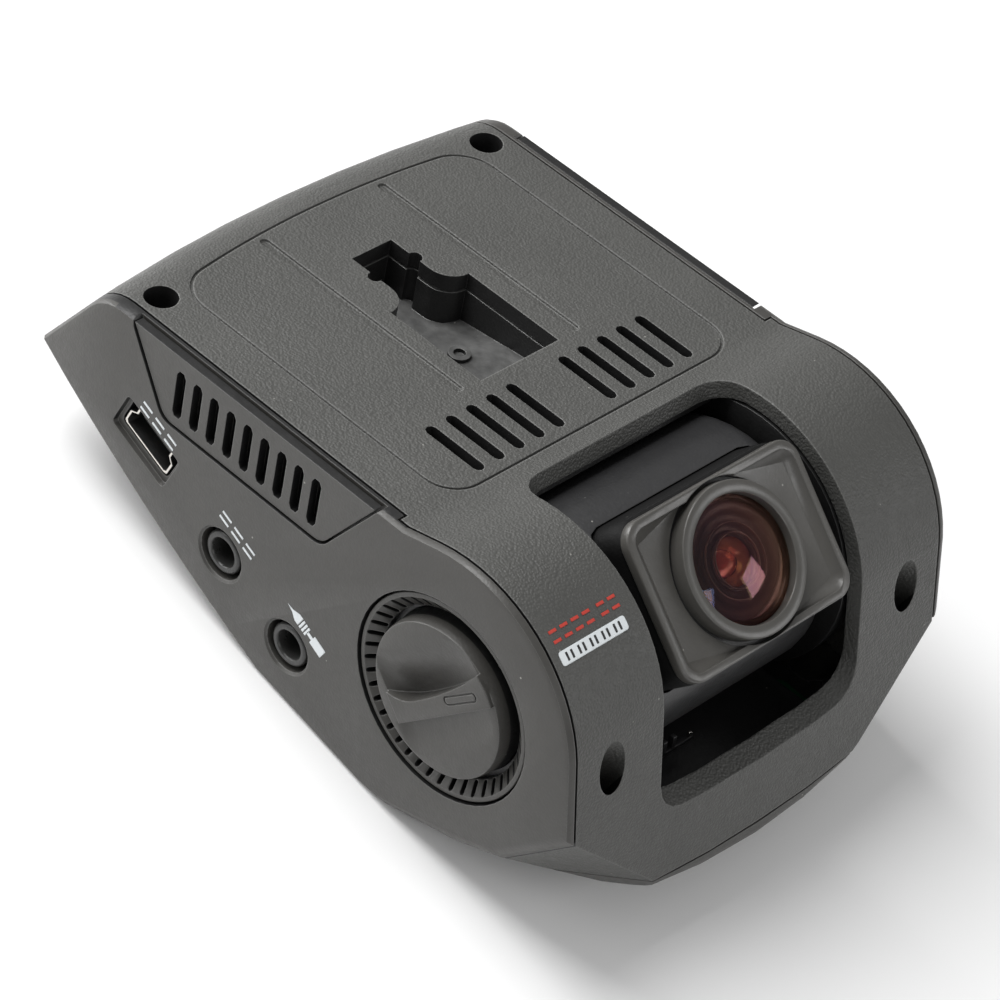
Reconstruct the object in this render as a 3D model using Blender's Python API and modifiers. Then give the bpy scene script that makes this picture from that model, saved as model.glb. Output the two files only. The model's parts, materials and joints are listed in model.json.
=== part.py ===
"""Wedge-shaped dash camera with a lens drum that tilts in its nose.

The case is drawn in its own frame: X across, the nose towards -Y, and the flat mounting face at Z = 0.
The empty case_frame then lays the camera down on the flat of its underside.
The empty lens_axis sits on the drum's axle, with its local Z along the line of sight.
"""

import itertools
import math

import bmesh
import bpy
from mathutils import Matrix, Vector

MM = 0.001
GAP = 0.3 * MM

# Case
HALF_WIDTH = 30 * MM
WALL = 2 * MM
COVER = 2 * MM
NOSE_COVER = 1 * MM
COVER_EDGE = 1 * MM
NOSE_STEP_Y = -11.2 * MM
REST_TILT = math.radians(12)

# Side outline, as (y, z)
AXLE = Vector((-21.64 * MM, -16.43 * MM))
NOSE_RADIUS = 18.2 * MM
RAMP_START_Y = -12.5 * MM
FACE_TILT = math.radians(13)
CHIN_CENTRE = Vector((-41.45 * MM, -34.7 * MM))
CHIN_RADIUS = 3 * MM
BASE_FRONT = Vector((-13 * MM, -35.7 * MM))
BASE_REAR = Vector((4 * MM, -32.1 * MM))
TAIL = Vector((41.9 * MM, -11.7 * MM))
SCREEN_SAG = 1 * MM
REAR_TOP_Y = 33.3 * MM
REAR_ROUND = 6 * MM
REAR_BULGE = 2.4 * MM
REAR_BULGE_FROM_Y = 28 * MM
CHIN_CROWN = Vector((0.9 * MM, 1.3 * MM))
CHIN_CROWN_HALF = 16.15 * MM
CHIN_CROWN_FROM_Z = -31 * MM
LIP_HEIGHT = 3 * MM

# Planes that trim the chin's two lower corners, as unit normals on the +X side and distances
CORNER_PLANES = (
    (Vector((0.597, -0.583, -0.552)).normalized(), 53.7 * MM),
    (Vector((0.629, -0.218, -0.75)).normalized(), 49.2 * MM),
    (Vector((0.564, -0.319, -0.761)).normalized(), 50.5 * MM),
)

# Window in the nose: angles about the axle, measured up from straight ahead
WINDOW_HALF = 15.8 * MM
WINDOW_TOP = math.radians(112)
WINDOW_BOTTOM = math.radians(-24.5)
WINDOW_CORNER = 3.4 * MM

# Lens unit, about the axle
LENS_ELEVATION = math.radians(46)
DRUM_RADIUS = 14.6 * MM
DRUM_HALF = 14.9 * MM
DRUM_ROUND = 2.4 * MM
AXLE_RADIUS = 3.4 * MM
AXLE_FIT = 0.2 * MM
BEZEL_HALF_X = 13.3 * MM
BEZEL_HALF_Y = 9.1 * MM
BEZEL_FACE = 17.4 * MM
BEZEL_SEAT = 9 * MM
BEZEL_CORNER = 2.6 * MM
BEZEL_RIM = 1.3 * MM
BEZEL_DISH = 1.6 * MM
BEZEL_SLOPE = 1 * MM
RING_RADIUS = 8.3 * MM
RING_PROUD = 0.7 * MM
GLASS_RADIUS = 7.03 * MM
GLASS_RISE = 1.5 * MM
BARREL_RADIUS = 7.6 * MM
BARREL_BORE = 6.4 * MM
BARREL_BACK = 1.6 * MM

# Knob on the port side
KNOB_HOLE = 12.15 * MM
KNOB_DISC = 9 * MM
KNOB_FACE = 0.5 * MM
RING_SINK = 0.8 * MM
RING_THICK = 1.6 * MM
RIDGE_PROUD = 1.5 * MM
RIDGE_WIDTH = 3.7 * MM
RING_SLOTS = 42
RING_SLOT_WIDTH = 0.65 * MM
RING_SLOT_LENGTH = 1.5 * MM

# Mounting face: vents, slot for the bracket and its pocket
VENT_FIRST_X = 4.05 * MM
VENT_PITCH = 3.03 * MM
VENT_SIDE = 5
VENT_FRONT_Y = -10.6 * MM
VENT_REAR_Y = -2.3 * MM
VENT_WIDTH = 1.35 * MM
SLOT_HALF_WIDE = 6 * MM
SLOT_HALF_NARROW = 3 * MM
SLOT_FRONT_Y = -0.2 * MM
SLOT_STEP_Y = 13.6 * MM
SLOT_REAR_Y = 22.8 * MM
POCKET_WALL = 1.1 * MM
POCKET_DEPTH = 5.6 * MM
POCKET_SLOPE = 2 * MM

# Side grille
GRILLE_TOP_REAR_Y = 28.7 * MM
GRILLE_LOW_REAR_Y = 22.4 * MM
GRILLE_LOW_FRONT_Y = -2.4 * MM
GRILLE_TOP_FRONT_Y = -9 * MM
GRILLE_LOW_Z = -9.6 * MM
GRILLE_SINK = 0.2 * MM
GRILLE_SLOTS = 9
GRILLE_SLOT_REAR_Y = 20.5 * MM
GRILLE_SLOT_PITCH = 2.6 * MM
GRILLE_SLOT_WIDTH = 1.4 * MM
GRILLE_SLOT_TOP_Z = -1.9 * MM
GRILLE_SLOT_LOW_Z = -8.2 * MM

# Ports, as (y, z) in the side view
PORT_TILT = math.radians(22)
USB_CENTRE = Vector((24 * MM, -13.7 * MM))
USB_WIDE = 7.7 * MM
USB_HIGH = 3.9 * MM
USB_CORNER = 0.7 * MM
USB_SHELL = 0.35 * MM
USB_DEPTH = 9 * MM
USB_SINK = 0.5 * MM
JACKS = {"gps_jack": Vector((11.26 * MM, -20.8 * MM)), "av_jack": Vector((-0.03 * MM, -25.74 * MM))}
JACK_HOLE = 3.15 * MM
JACK_RADIUS = 2.6 * MM
JACK_BORE = 1.75 * MM
JACK_DEPTH = 10 * MM

# Screws that close the case
REAR_SCREW = Vector((24.88 * MM, 29.6 * MM))
FRONT_SCREW = Vector((23.44 * MM, -39.53 * MM, -16.52 * MM))
FRONT_SCREW_TILT = math.radians(25)
SCREW_HOLE = 1.95 * MM
SCREW_HEAD = 1.6 * MM
SCREW_SHANK = 0.8 * MM
SCREW_PILOT = 1.1 * MM
REAR_SCREW_SINK = 6.5 * MM
FRONT_SCREW_SINK = 9 * MM
HEAD_HIGH = 1.3 * MM
SHANK_LONG = 5 * MM
BOSS_RADIUS = 3.2 * MM
POST_RADIUS = 2.6 * MM
POST_LONG = 22 * MM
BOSS_BELOW_HEAD = 2.2 * MM

# Screen side, in the frame of the empty screen_frame: Z points into the case
SCREEN_CENTRE_Y = -3 * MM
WINDOW_PANE = Vector((21 * MM, 14.5 * MM))
PANE_FACE = 0.5 * MM
PANE_THICK = 0.8 * MM
LCD_HALF = Vector((18.5 * MM, 13 * MM))
LCD_THICK = 1.5 * MM
BOARD_HALF_X = 21.5 * MM
BOARD_FRONT = -18.5 * MM
BOARD_REAR = 13 * MM
BOARD_LOW = 3.7 * MM
BOARD_THICK = 1 * MM

# Buttons under the chin
BUTTONS = ("menu_button", "up_button", "ok_button", "down_button", "power_button")
BUTTON_PITCH = 7 * MM
BUTTON_Y = -34 * MM
BUTTON_HALF = Vector((2.5 * MM, 1.7 * MM))
BUTTON_SINK = 0.15 * MM
BUTTON_HIGH = 2.6 * MM
BUTTON_TRAVEL = 0.4 * MM

# Memory card on the starboard side
CARD_WIDE = 11 * MM
CARD_LONG = 15 * MM
CARD_THICK = 0.8 * MM
CARD_Y = -8 * MM
CARD_FIT = 0.2 * MM

# Finishes as (colour, roughness, metallic)
FINISHES = {
    "textured_case": ((0.062, 0.06, 0.056), 0.55, 0.0),
    "satin_cover": ((0.075, 0.072, 0.068), 0.42, 0.0),
    "drum_black": ((0.03, 0.03, 0.03), 0.4, 0.0),
    "bezel_grey": ((0.06, 0.058, 0.055), 0.3, 0.0),
    "coated_glass": ((0.12, 0.06, 0.05), 0.05, 0.0),
    "screen_glass": ((0.01, 0.01, 0.012), 0.06, 0.0),
    "socket_metal": ((0.6, 0.6, 0.6), 0.3, 1.0),
    "steel": ((0.35, 0.35, 0.36), 0.35, 1.0),
    "board_green": ((0.02, 0.12, 0.05), 0.5, 0.0),
    "chip_black": ((0.02, 0.02, 0.02), 0.5, 0.0),
    "inner_black": ((0.015, 0.015, 0.015), 0.6, 0.0),
    "cell_wrap": ((0.5, 0.5, 0.52), 0.4, 0.3),
}

SIDE_VIEW = Matrix(((0, 0, 1, 0), (1, 0, 0, 0), (0, 1, 0, 0), (0, 0, 0, 1)))


def start_scene():
    """Clear the scene and make the collections and the empties that hold the parts."""
    for old in list(bpy.data.objects):
        bpy.data.objects.remove(old, do_unlink=True)
    for name in ("dash_camera", "cutters"):
        bpy.context.scene.collection.children.link(bpy.data.collections.new(name))


def add_empty(name, parent=None, location=(0, 0, 0), rotation=(0, 0, 0)):
    empty = bpy.data.objects.new(name, None)
    bpy.data.collections["dash_camera"].objects.link(empty)
    empty.parent = parent
    empty.location = location
    empty.rotation_euler = rotation
    return empty


def make_finishes():
    for name, (colour, roughness, metallic) in FINISHES.items():
        finish = bpy.data.materials.new(name)
        finish.use_nodes = True
        shader = finish.node_tree.nodes["Principled BSDF"]
        shader.inputs["Base Color"].default_value = (*colour, 1)
        shader.inputs["Roughness"].default_value = roughness
        shader.inputs["Metallic"].default_value = metallic


def add_solid(name, mesh, parent):
    """A cutter by default; finish_part makes it a visible part."""
    solid = bpy.data.objects.new(name, mesh)
    bpy.data.collections["cutters"].objects.link(solid)
    solid.parent = parent
    solid.hide_render = True
    solid.display_type = "WIRE"
    return solid


def finish_part(solid, finish):
    bpy.data.collections["cutters"].objects.unlink(solid)
    bpy.data.collections["dash_camera"].objects.link(solid)
    solid.hide_render = False
    solid.display_type = "TEXTURED"
    solid.data.materials.clear()
    part_finish = bpy.data.materials[finish]
    solid.data.materials.append(part_finish)
    return solid


def combine(solid, other, operation="DIFFERENCE"):
    step = solid.modifiers.new(other.name, "BOOLEAN")
    step.object = other
    step.operation = operation
    return solid


def mesh_from(work, name):
    mesh = bpy.data.meshes.new(name)
    bmesh.ops.recalc_face_normals(work, faces=work.faces)
    work.to_mesh(mesh)
    work.free()
    return mesh


def evaluated_mesh(name, data):
    """Work on the mesh that a helper object with this curve, or with a Screw on this mesh, evaluates to."""
    helper = bpy.data.objects.new(name, data)
    bpy.context.scene.collection.objects.link(helper)
    if helper.type == "MESH":
        screw = helper.modifiers.new("turn", "SCREW")
        screw.steps = screw.render_steps = data.get("steps")
        screw.use_merge_vertices = True
        screw.merge_threshold = 0.00001
    graph = bpy.context.evaluated_depsgraph_get()
    mesh = bpy.data.meshes.new_from_object(helper.evaluated_get(graph))
    bpy.data.objects.remove(helper)
    work = bmesh.new()
    work.from_mesh(mesh)
    bpy.data.meshes.remove(mesh)
    bmesh.ops.remove_doubles(work, verts=work.verts, dist=1e-6)
    return work


def flat_mesh(name, outline, low, high, view=None):
    """An outline in the local XY plane, extruded from low to high along local Z."""
    curve = bpy.data.curves.new(name, "CURVE")
    curve.dimensions = "2D"
    curve.fill_mode = "BOTH"
    curve.extrude = (high - low) / 2
    line = curve.splines.new("POLY")
    line.points.add(len(outline) - 1)
    for point, place in zip(line.points, outline):
        point.co = (place[0], place[1], 0, 1)
    line.use_cyclic_u = True
    work = evaluated_mesh(name, curve)
    bpy.data.curves.remove(curve)
    bmesh.ops.translate(work, verts=work.verts, vec=(0, 0, (low + high) / 2))
    if view:
        bmesh.ops.transform(work, verts=work.verts, matrix=view)
    return mesh_from(work, name)


def add_flat(name, outline, low, high, parent, view=None):
    return add_solid(name, flat_mesh(name, outline, low, high, view), parent)


def add_box(name, low, high, parent):
    work = bmesh.new()
    bmesh.ops.create_cube(work, size=1)
    low, high = Vector(low), Vector(high)
    bmesh.ops.scale(work, verts=work.verts, vec=high - low)
    bmesh.ops.translate(work, verts=work.verts, vec=(high + low) / 2)
    return add_solid(name, mesh_from(work, name), parent)


def add_rod(name, start, end, radius, parent, sides=24):
    """A cylinder between two points."""
    start, end = Vector(start), Vector(end)
    work = bmesh.new()
    bmesh.ops.create_cone(
        work, cap_ends=True, segments=sides, radius1=radius, radius2=radius, depth=(end - start).length
    )
    turn = Vector((0, 0, 1)).rotation_difference(end - start).to_matrix().to_4x4()
    place = Matrix.Translation((start + end) / 2) @ turn
    bmesh.ops.transform(work, verts=work.verts, matrix=place)
    return add_solid(name, mesh_from(work, name), parent)


def add_turned(name, profile, parent, turn=(0, 0, 0), place=(0, 0, 0), steps=40):
    """A profile of (radius, height) points, from the top down its outer side, turned about local Z."""
    closed = profile[0][0] > 0
    line = bpy.data.meshes.new(name)
    count = len(profile)
    edges = [(i, (i + 1) % count) for i in range(count if closed else count - 1)]
    line.from_pydata([(radius, 0, height) for radius, height in profile], edges, [])
    line["steps"] = steps
    work = evaluated_mesh(name, line)
    bpy.data.meshes.remove(line)
    solid = add_solid(name, mesh_from(work, name), parent)
    solid.location = place
    solid.rotation_euler = turn
    return solid


def arc(centre, radius, first, last, steps):
    """Points on a circle, with angles from the first local axis towards the second."""
    turns = [first + (last - first) * i / steps for i in range(steps + 1)]
    return [Vector((centre[0] + radius * math.cos(a), centre[1] + radius * math.sin(a))) for a in turns]


def sagged(start, end, sag, steps):
    """Points from start to end, bowed to the right of the way by sag."""
    along = end - start
    right = Vector((along.y, -along.x)).normalized()
    shares = [i / steps for i in range(steps + 1)]
    return [start + along * s + right * (4 * sag * s * (1 - s)) for s in shares]


def rounded_box(half_x, half_y, corner, steps=4, centre=(0, 0)):
    points = []
    for k, (sx, sy) in enumerate(((1, 1), (-1, 1), (-1, -1), (1, -1))):
        middle = (centre[0] + sx * (half_x - corner), centre[1] + sy * (half_y - corner))
        points += arc(middle, corner, k * math.pi / 2, (k + 1) * math.pi / 2, steps)
    return points


def fillet(before, corner, after, radius, steps=4):
    """The rounded corner between two straight stretches of an outline."""
    back = (before - corner).normalized()
    ahead = (after - corner).normalized()
    half = back.angle(ahead) / 2
    reach = radius / math.tan(half)
    middle = corner + (back + ahead).normalized() * (radius / math.sin(half))
    first = corner + back * reach - middle
    last = corner + ahead * reach - middle
    start = math.atan2(first.y, first.x)
    sweep = math.remainder(math.atan2(last.y, last.x) - start, 2 * math.pi)
    return arc(middle, radius, start, start + sweep, steps)


def inset_outline(points, depth):
    """The outline moved inwards by depth, for points that run anticlockwise."""
    moved = []
    count = len(points)
    for i, point in enumerate(points):
        into = (point - points[i - 1]).normalized()
        out = (points[(i + 1) % count] - point).normalized()
        normal_in = Vector((-into.y, into.x))
        normal_out = Vector((-out.y, out.x))
        middle = (normal_in + normal_out).normalized()
        moved.append(point + middle * (depth / max(middle.dot(normal_in), 0.4)))
    return moved


def nose_points():
    """The outline from the ramp on the mounting face, over the nose and down its face to the chin."""
    ramp = Vector((RAMP_START_Y, 0))
    reach = ramp - AXLE
    start = math.atan2(reach.y, reach.x) + math.acos(NOSE_RADIUS / reach.length)
    return [ramp] + arc(AXLE, NOSE_RADIUS, start, math.pi - FACE_TILT, 16)


def underside_points():
    """The outline from the chin, over the flat of the base, to the tail."""
    slope = (BASE_FRONT - CHIN_CENTRE).normalized()
    chin_end = -math.pi / 2 + math.atan2(slope.y, slope.x) + math.asin(
        CHIN_RADIUS / (BASE_FRONT - CHIN_CENTRE).length
    )
    chin = arc(CHIN_CENTRE, CHIN_RADIUS, -math.pi - FACE_TILT, chin_end, 6)
    return chin + [BASE_FRONT] + sagged(BASE_REAR, TAIL, SCREEN_SAG, 8)


def rear_points():
    corner = Vector((REAR_TOP_Y, 0))
    return fillet(TAIL, corner, Vector((0, 0)), REAR_ROUND, 5)


def case_outline(inset=0.0):
    """The case's side outline, anticlockwise from the rear of the mounting face."""
    points = rear_points() + nose_points() + underside_points()
    return inset_outline(points, inset) if inset else points


def shape_case(work, inset):
    """Bow the rear, crown the chin and trim the chin's corners of a solid drawn along X."""
    for share in (-0.85, -0.54, -0.27, 0, 0.27, 0.54, 0.85):
        geometry = work.verts[:] + work.edges[:] + work.faces[:]
        bmesh.ops.bisect_plane(
            work, geom=geometry, dist=1e-7, plane_co=(share * HALF_WIDTH, 0, 0), plane_no=(1, 0, 0)
        )
    for vertex in work.verts:
        across = vertex.co.x / HALF_WIDTH
        rearward = (vertex.co.y - REAR_BULGE_FROM_Y) / (REAR_TOP_Y - REAR_BULGE_FROM_Y)
        vertex.co.y += REAR_BULGE * (1 - min(across**2, 1)) * min(max(rearward, 0), 1)
        if vertex.co.z < CHIN_CROWN_FROM_Z and vertex.co.y < BASE_FRONT.x:
            raised = min(abs(vertex.co.x) / CHIN_CROWN_HALF, 1) ** 2
            forward = min((BASE_FRONT.x - vertex.co.y) / (BASE_FRONT.x - CHIN_CENTRE.x), 1)
            vertex.co.y += CHIN_CROWN.x * raised * forward
            vertex.co.z += CHIN_CROWN.y * raised * forward
    for side, (plane, distance) in itertools.product((-1, 1), CORNER_PLANES):
        normal = Vector((side * plane.x, plane.y, plane.z))
        geometry = work.verts[:] + work.edges[:] + work.faces[:]
        cut = bmesh.ops.bisect_plane(
            work,
            geom=geometry,
            dist=1e-7,
            plane_co=normal * (distance - inset),
            plane_no=normal,
            clear_outer=True,
        )
        edges = [item for item in cut["geom_cut"] if isinstance(item, bmesh.types.BMEdge)]
        if edges:
            bmesh.ops.edgeloop_fill(work, edges=edges)
    bmesh.ops.triangulate(work, faces=work.faces)


def add_case_solid(name, parent, inset, low_x, high_x, outline=None):
    """The case's outline, moved in by inset, as a solid from low_x to high_x."""
    mesh = flat_mesh(name, outline or case_outline(inset), low_x, high_x, SIDE_VIEW)
    work = bmesh.new()
    work.from_mesh(mesh)
    bpy.data.meshes.remove(mesh)
    shape_case(work, inset)
    return add_solid(name, mesh_from(work, name), parent)


def parting_outline(lift, beyond=8 * MM):
    """The region under the seam between the two housings, as drawn in the side view."""
    seam_front = CHIN_CENTRE + Vector((-CHIN_RADIUS, CHIN_RADIUS * math.sin(FACE_TILT)))
    seam = [Vector((seam_front.x - beyond, seam_front.y))]
    seam += [seam_front + Vector((CHIN_RADIUS, 0)), BASE_FRONT + Vector((0, LIP_HEIGHT))]
    seam += [point + Vector((0, LIP_HEIGHT)) for point in sagged(BASE_REAR, TAIL, SCREEN_SAG, 8)[:-1]]
    seam += [TAIL + Vector((beyond, LIP_HEIGHT))]
    seam = [point + Vector((0, lift)) for point in seam]
    floor = BASE_FRONT.y - beyond
    return [Vector((seam[0].x, floor)), Vector((seam[-1].x, floor))] + seam[::-1]


def slot_outline(x, low_y, high_y, width, steps=4):
    """A round-ended slot along local Y."""
    half = width / 2
    ends = arc((x, high_y - half), half, 0, math.pi, steps)
    return ends + arc((x, low_y + half), half, math.pi, 2 * math.pi, steps)


def add_slots(name, outlines, low, high, parent, view=None):
    """One cutter made of many separate slots."""
    work = bmesh.new()
    for outline in outlines:
        piece = flat_mesh(name, outline, low, high, view)
        work.from_mesh(piece)
        bpy.data.meshes.remove(piece)
    return add_solid(name, mesh_from(work, name), parent)


def front_screw_line(side, travel):
    """A point on a front screw's axis, at the given distance from the nose's face."""
    along = Vector((0, math.sin(FRONT_SCREW_TILT), -math.cos(FRONT_SCREW_TILT)))
    return Vector((side * FRONT_SCREW.x, FRONT_SCREW.y, FRONT_SCREW.z)) + along * travel


def rear_screw_line(side, travel):
    return Vector((side * REAR_SCREW.x, REAR_SCREW.y, -travel))


SCREWS = {
    "rear_left_screw": (rear_screw_line, -1, REAR_SCREW_SINK),
    "rear_right_screw": (rear_screw_line, 1, REAR_SCREW_SINK),
    "front_left_screw": (front_screw_line, -1, FRONT_SCREW_SINK),
    "front_right_screw": (front_screw_line, 1, FRONT_SCREW_SINK),
}


def mount_slot_outline(grow=0.0):
    wide = SLOT_HALF_WIDE + grow
    narrow = SLOT_HALF_NARROW + grow
    front, step, rear = SLOT_FRONT_Y - grow, SLOT_STEP_Y + grow, SLOT_REAR_Y + grow
    right = [(wide, front), (wide, step), (narrow, step), (narrow, rear)]
    left = [(-x, y) for x, y in reversed(right)]
    return [Vector(point) for point in right + left]


def window_cutter(parent):
    """The sector about the axle that opens the nose for the lens drum."""
    reach = NOSE_RADIUS + 9 * MM
    hub = DRUM_RADIUS - 3 * MM
    first, last = math.pi - WINDOW_TOP, math.pi - WINDOW_BOTTOM
    outline = arc(AXLE, reach, first, last, 12) + arc(AXLE, hub, last, first, 12)
    cutter = add_flat("window_cutter", outline, -WINDOW_HALF, WINDOW_HALF, parent, SIDE_VIEW)
    work = bmesh.new()
    work.from_mesh(cutter.data)
    ends = []
    for edge in work.edges:
        a, b = (vertex.co - Vector((vertex.co.x, *AXLE)) for vertex in edge.verts)
        across = abs(edge.verts[0].co.x - edge.verts[1].co.x)
        if across < 1e-6 and abs(a.length - b.length) > 5 * MM and edge.calc_face_angle(0) > 1:
            ends.append(edge)
    bmesh.ops.bevel(work, geom=ends, offset=WINDOW_CORNER, segments=4, affect="EDGES", profile=0.5)
    cutter.data = mesh_from(work, "window_cutter")
    return cutter


def top_housing(case):
    """Mounting face, nose and rear wall in one shell, open underneath and at its sides."""
    nose_half = HALF_WIDTH - NOSE_COVER - GAP
    shell = add_case_solid("top_housing", case, 0, -nose_half, nose_half)
    hollow = add_case_solid("top_hollow", case, WALL, -HALF_WIDTH - GAP, HALF_WIDTH + GAP)
    combine(shell, hollow)
    for side in (-1, 1):
        inner = side * (HALF_WIDTH - COVER - GAP)
        outer = side * (HALF_WIDTH + 1 * MM)
        low_x, high_x = min(inner, outer), max(inner, outer)
        trim = add_box(f"side_trim_{side}", (low_x, NOSE_STEP_Y, -60 * MM), (high_x, 60 * MM, 20 * MM), case)
        combine(shell, trim)
    for name, (line, side, sink) in SCREWS.items():
        boss = add_rod(f"{name}_boss", line(side, 0), line(side, sink + BOSS_BELOW_HEAD), BOSS_RADIUS, case)
        combine(boss, bpy.data.objects["boss_limit"], "INTERSECT")
        combine(shell, boss, "UNION")
    for name, (line, side, sink) in SCREWS.items():
        start = line(side, sink + BOSS_BELOW_HEAD)
        way = add_rod(f"{name}_post_way", start, line(side, sink + POST_LONG), POST_RADIUS + GAP, case)
        combine(way, bpy.data.objects["way_limit"], "INTERSECT")
        combine(shell, way)
    combine(shell, bpy.data.objects["under_seam"])
    combine(shell, window_cutter(case))
    for name, (line, side, sink) in SCREWS.items():
        combine(shell, add_rod(f"{name}_well", line(side, -8 * MM), line(side, sink), SCREW_HOLE, case))
        way = add_rod(f"{name}_way", line(side, -1 * MM), line(side, sink + 6 * MM), SCREW_PILOT, case, 16)
        combine(shell, way)
    slot = add_flat("mount_slot", mount_slot_outline(), -WALL - 1 * MM, 1 * MM, case)
    combine(shell, slot)
    vents = [
        slot_outline(side * (VENT_FIRST_X + VENT_PITCH * k), VENT_FRONT_Y, VENT_REAR_Y, VENT_WIDTH)
        for side in (-1, 1)
        for k in range(VENT_SIDE)
    ]
    combine(shell, add_slots("top_vents", vents, -WALL - 1 * MM, 1 * MM, case))
    return finish_part(shell, "textured_case")


def bottom_housing(case, screen, keys):
    """The screen-side shell, with its lip along the chin and the tail."""
    edge = HALF_WIDTH - COVER - GAP
    shell = add_case_solid("bottom_housing", case, 0, -edge, edge)
    keep = add_flat("above_seam_keep", parting_outline(0), -edge - GAP, edge + GAP, case, SIDE_VIEW)
    combine(shell, keep, "INTERSECT")
    combine(shell, add_case_solid("bottom_hollow", case, WALL, -edge - GAP, edge + GAP))
    for name, (line, side, sink) in SCREWS.items():
        start = line(side, sink + BOSS_BELOW_HEAD + GAP)
        post = add_rod(f"{name}_post", start, line(side, sink + POST_LONG), POST_RADIUS, case)
        combine(post, bpy.data.objects["boss_limit"], "INTERSECT")
        combine(shell, post, "UNION")
    for name, (line, side, sink) in SCREWS.items():
        pilot_end = line(side, sink + SHANK_LONG + 1 * MM)
        combine(shell, add_rod(f"{name}_pilot", line(side, sink), pilot_end, SCREW_PILOT, case, 16))
    room_end = USB_DEPTH - HALF_WIDTH + 1 * MM
    combine(shell, add_flat("usb_room", usb_outline(GAP), -HALF_WIDTH, room_end, case, SIDE_VIEW))
    pane = rounded_box(WINDOW_PANE.x + GAP, WINDOW_PANE.y + GAP, 2 * MM, 4, (0, SCREEN_CENTRE_Y))
    combine(shell, add_flat("pane_pocket", pane, -3 * MM, PANE_FACE + PANE_THICK + GAP / 2, screen))
    opening = rounded_box(LCD_HALF.x + GAP, LCD_HALF.y + GAP, 1 * MM, 2, (0, SCREEN_CENTRE_Y))
    combine(shell, add_flat("lcd_opening", opening, -3 * MM, 6 * MM, screen))
    wells = [
        rounded_box(BUTTON_HALF.x + GAP, BUTTON_HALF.y + GAP, 1.2 * MM, 3, (x, 0)) for x in button_places()
    ]
    combine(shell, add_slots("button_wells", wells, -4 * MM, WALL + 2 * MM, keys))
    return finish_part(shell, "satin_cover")


def button_places():
    return [(k - (len(BUTTONS) - 1) / 2) * BUTTON_PITCH for k in range(len(BUTTONS))]


def cover_step(case, side):
    """The part of the cover that makes room for the nose's wider wall."""
    near, far = side * (HALF_WIDTH - COVER - 1 * MM), side * (HALF_WIDTH - NOSE_COVER)
    low = (min(near, far), -60 * MM, -60 * MM)
    step = add_box(f"cover_step_{side}", low, (max(near, far), NOSE_STEP_Y + GAP, 20 * MM), case)
    combine(step, add_case_solid(f"step_core_{side}", case, WALL + GAP, -HALF_WIDTH, HALF_WIDTH))
    floor = add_flat(f"step_floor_{side}", parting_outline(0), -HALF_WIDTH, HALF_WIDTH, case, SIDE_VIEW)
    return combine(step, floor)


def grille_outline(inset=0.0):
    top = 3 * MM
    lean_rear = (GRILLE_TOP_REAR_Y - GRILLE_LOW_REAR_Y) / -GRILLE_LOW_Z
    lean_front = (GRILLE_LOW_FRONT_Y - GRILLE_TOP_FRONT_Y) / -GRILLE_LOW_Z
    top_rear = Vector((GRILLE_TOP_REAR_Y + lean_rear * top, top))
    top_front = Vector((GRILLE_TOP_FRONT_Y - lean_front * top, top))
    low_rear = Vector((GRILLE_LOW_REAR_Y, GRILLE_LOW_Z))
    low_front = Vector((GRILLE_LOW_FRONT_Y, GRILLE_LOW_Z))
    points = [top_rear, top_front]
    points += fillet(top_front, low_front, low_rear, 2.5 * MM)
    points += fillet(low_front, low_rear, top_rear, 2.5 * MM)
    return inset_outline(points, inset) if inset else points


def side_plate(name, case, side, inset, low, high):
    """A plate of the case's outline; low and high are distances from the outer face."""
    near, far = side * (HALF_WIDTH - high), side * (HALF_WIDTH - low)
    return add_case_solid(name, case, inset, min(near, far), max(near, far))


def round_outer_edge(plate, side):
    """Round the rim of a side cover's outer face."""
    work = bmesh.new()
    work.from_mesh(plate.data)
    bmesh.ops.dissolve_limit(work, angle_limit=0.01, verts=work.verts, edges=work.edges)
    face_x = side * HALF_WIDTH
    rim = [
        edge
        for edge in work.edges
        if all(abs(vertex.co.x - face_x) < 1e-6 for vertex in edge.verts)
        and any(abs(face.normal.x) < 0.9 for face in edge.link_faces)
    ]
    bmesh.ops.bevel(
        work, geom=rim, offset=COVER_EDGE * 0.8, segments=2, affect="EDGES", profile=0.5, clamp_overlap=True
    )
    bmesh.ops.triangulate(work, faces=[face for face in work.faces if len(face.verts) > 4])
    plate.data = mesh_from(work, plate.data.name)


def side_cover(case, side, name):
    plate = side_plate(name, case, side, 0, 0, COVER)
    round_outer_edge(plate, side)
    combine(plate, cover_step(case, side))
    seat_low, seat_high = side * (HALF_WIDTH + 1 * MM), side * (HALF_WIDTH - COVER + 0.4 * MM)
    seat = add_flat(
        f"{name}_seat", grille_outline(), min(seat_low, seat_high), max(seat_low, seat_high), case, SIDE_VIEW
    )
    combine(plate, seat)
    inside, outside = side * (HALF_WIDTH - 4 * MM), side * (HALF_WIDTH + 2 * MM)
    low_x, high_x = min(inside, outside), max(inside, outside)
    combine(plate, add_slots(f"{name}_slots", grille_slots(0.2 * MM), low_x, high_x, case, SIDE_VIEW))
    if side < 0:
        combine(plate, add_rod("knob_hole", (low_x, *AXLE), (high_x, *AXLE), KNOB_HOLE, case, 48))
        combine(plate, add_flat("usb_hole", usb_outline(GAP), low_x, high_x, case, SIDE_VIEW))
        for jack, centre in JACKS.items():
            combine(plate, add_rod(f"{jack}_hole", (low_x, *centre), (high_x, *centre), JACK_HOLE, case))
    else:
        combine(plate, card_way("card_mouth", 0.4 * MM, -2 * MM, 6 * MM))
    return finish_part(plate, "satin_cover")


def place_port(point):
    """A point of the USB socket's own outline, turned and moved to its place in the side view."""
    return Matrix.Rotation(PORT_TILT, 2) @ point + USB_CENTRE


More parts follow.
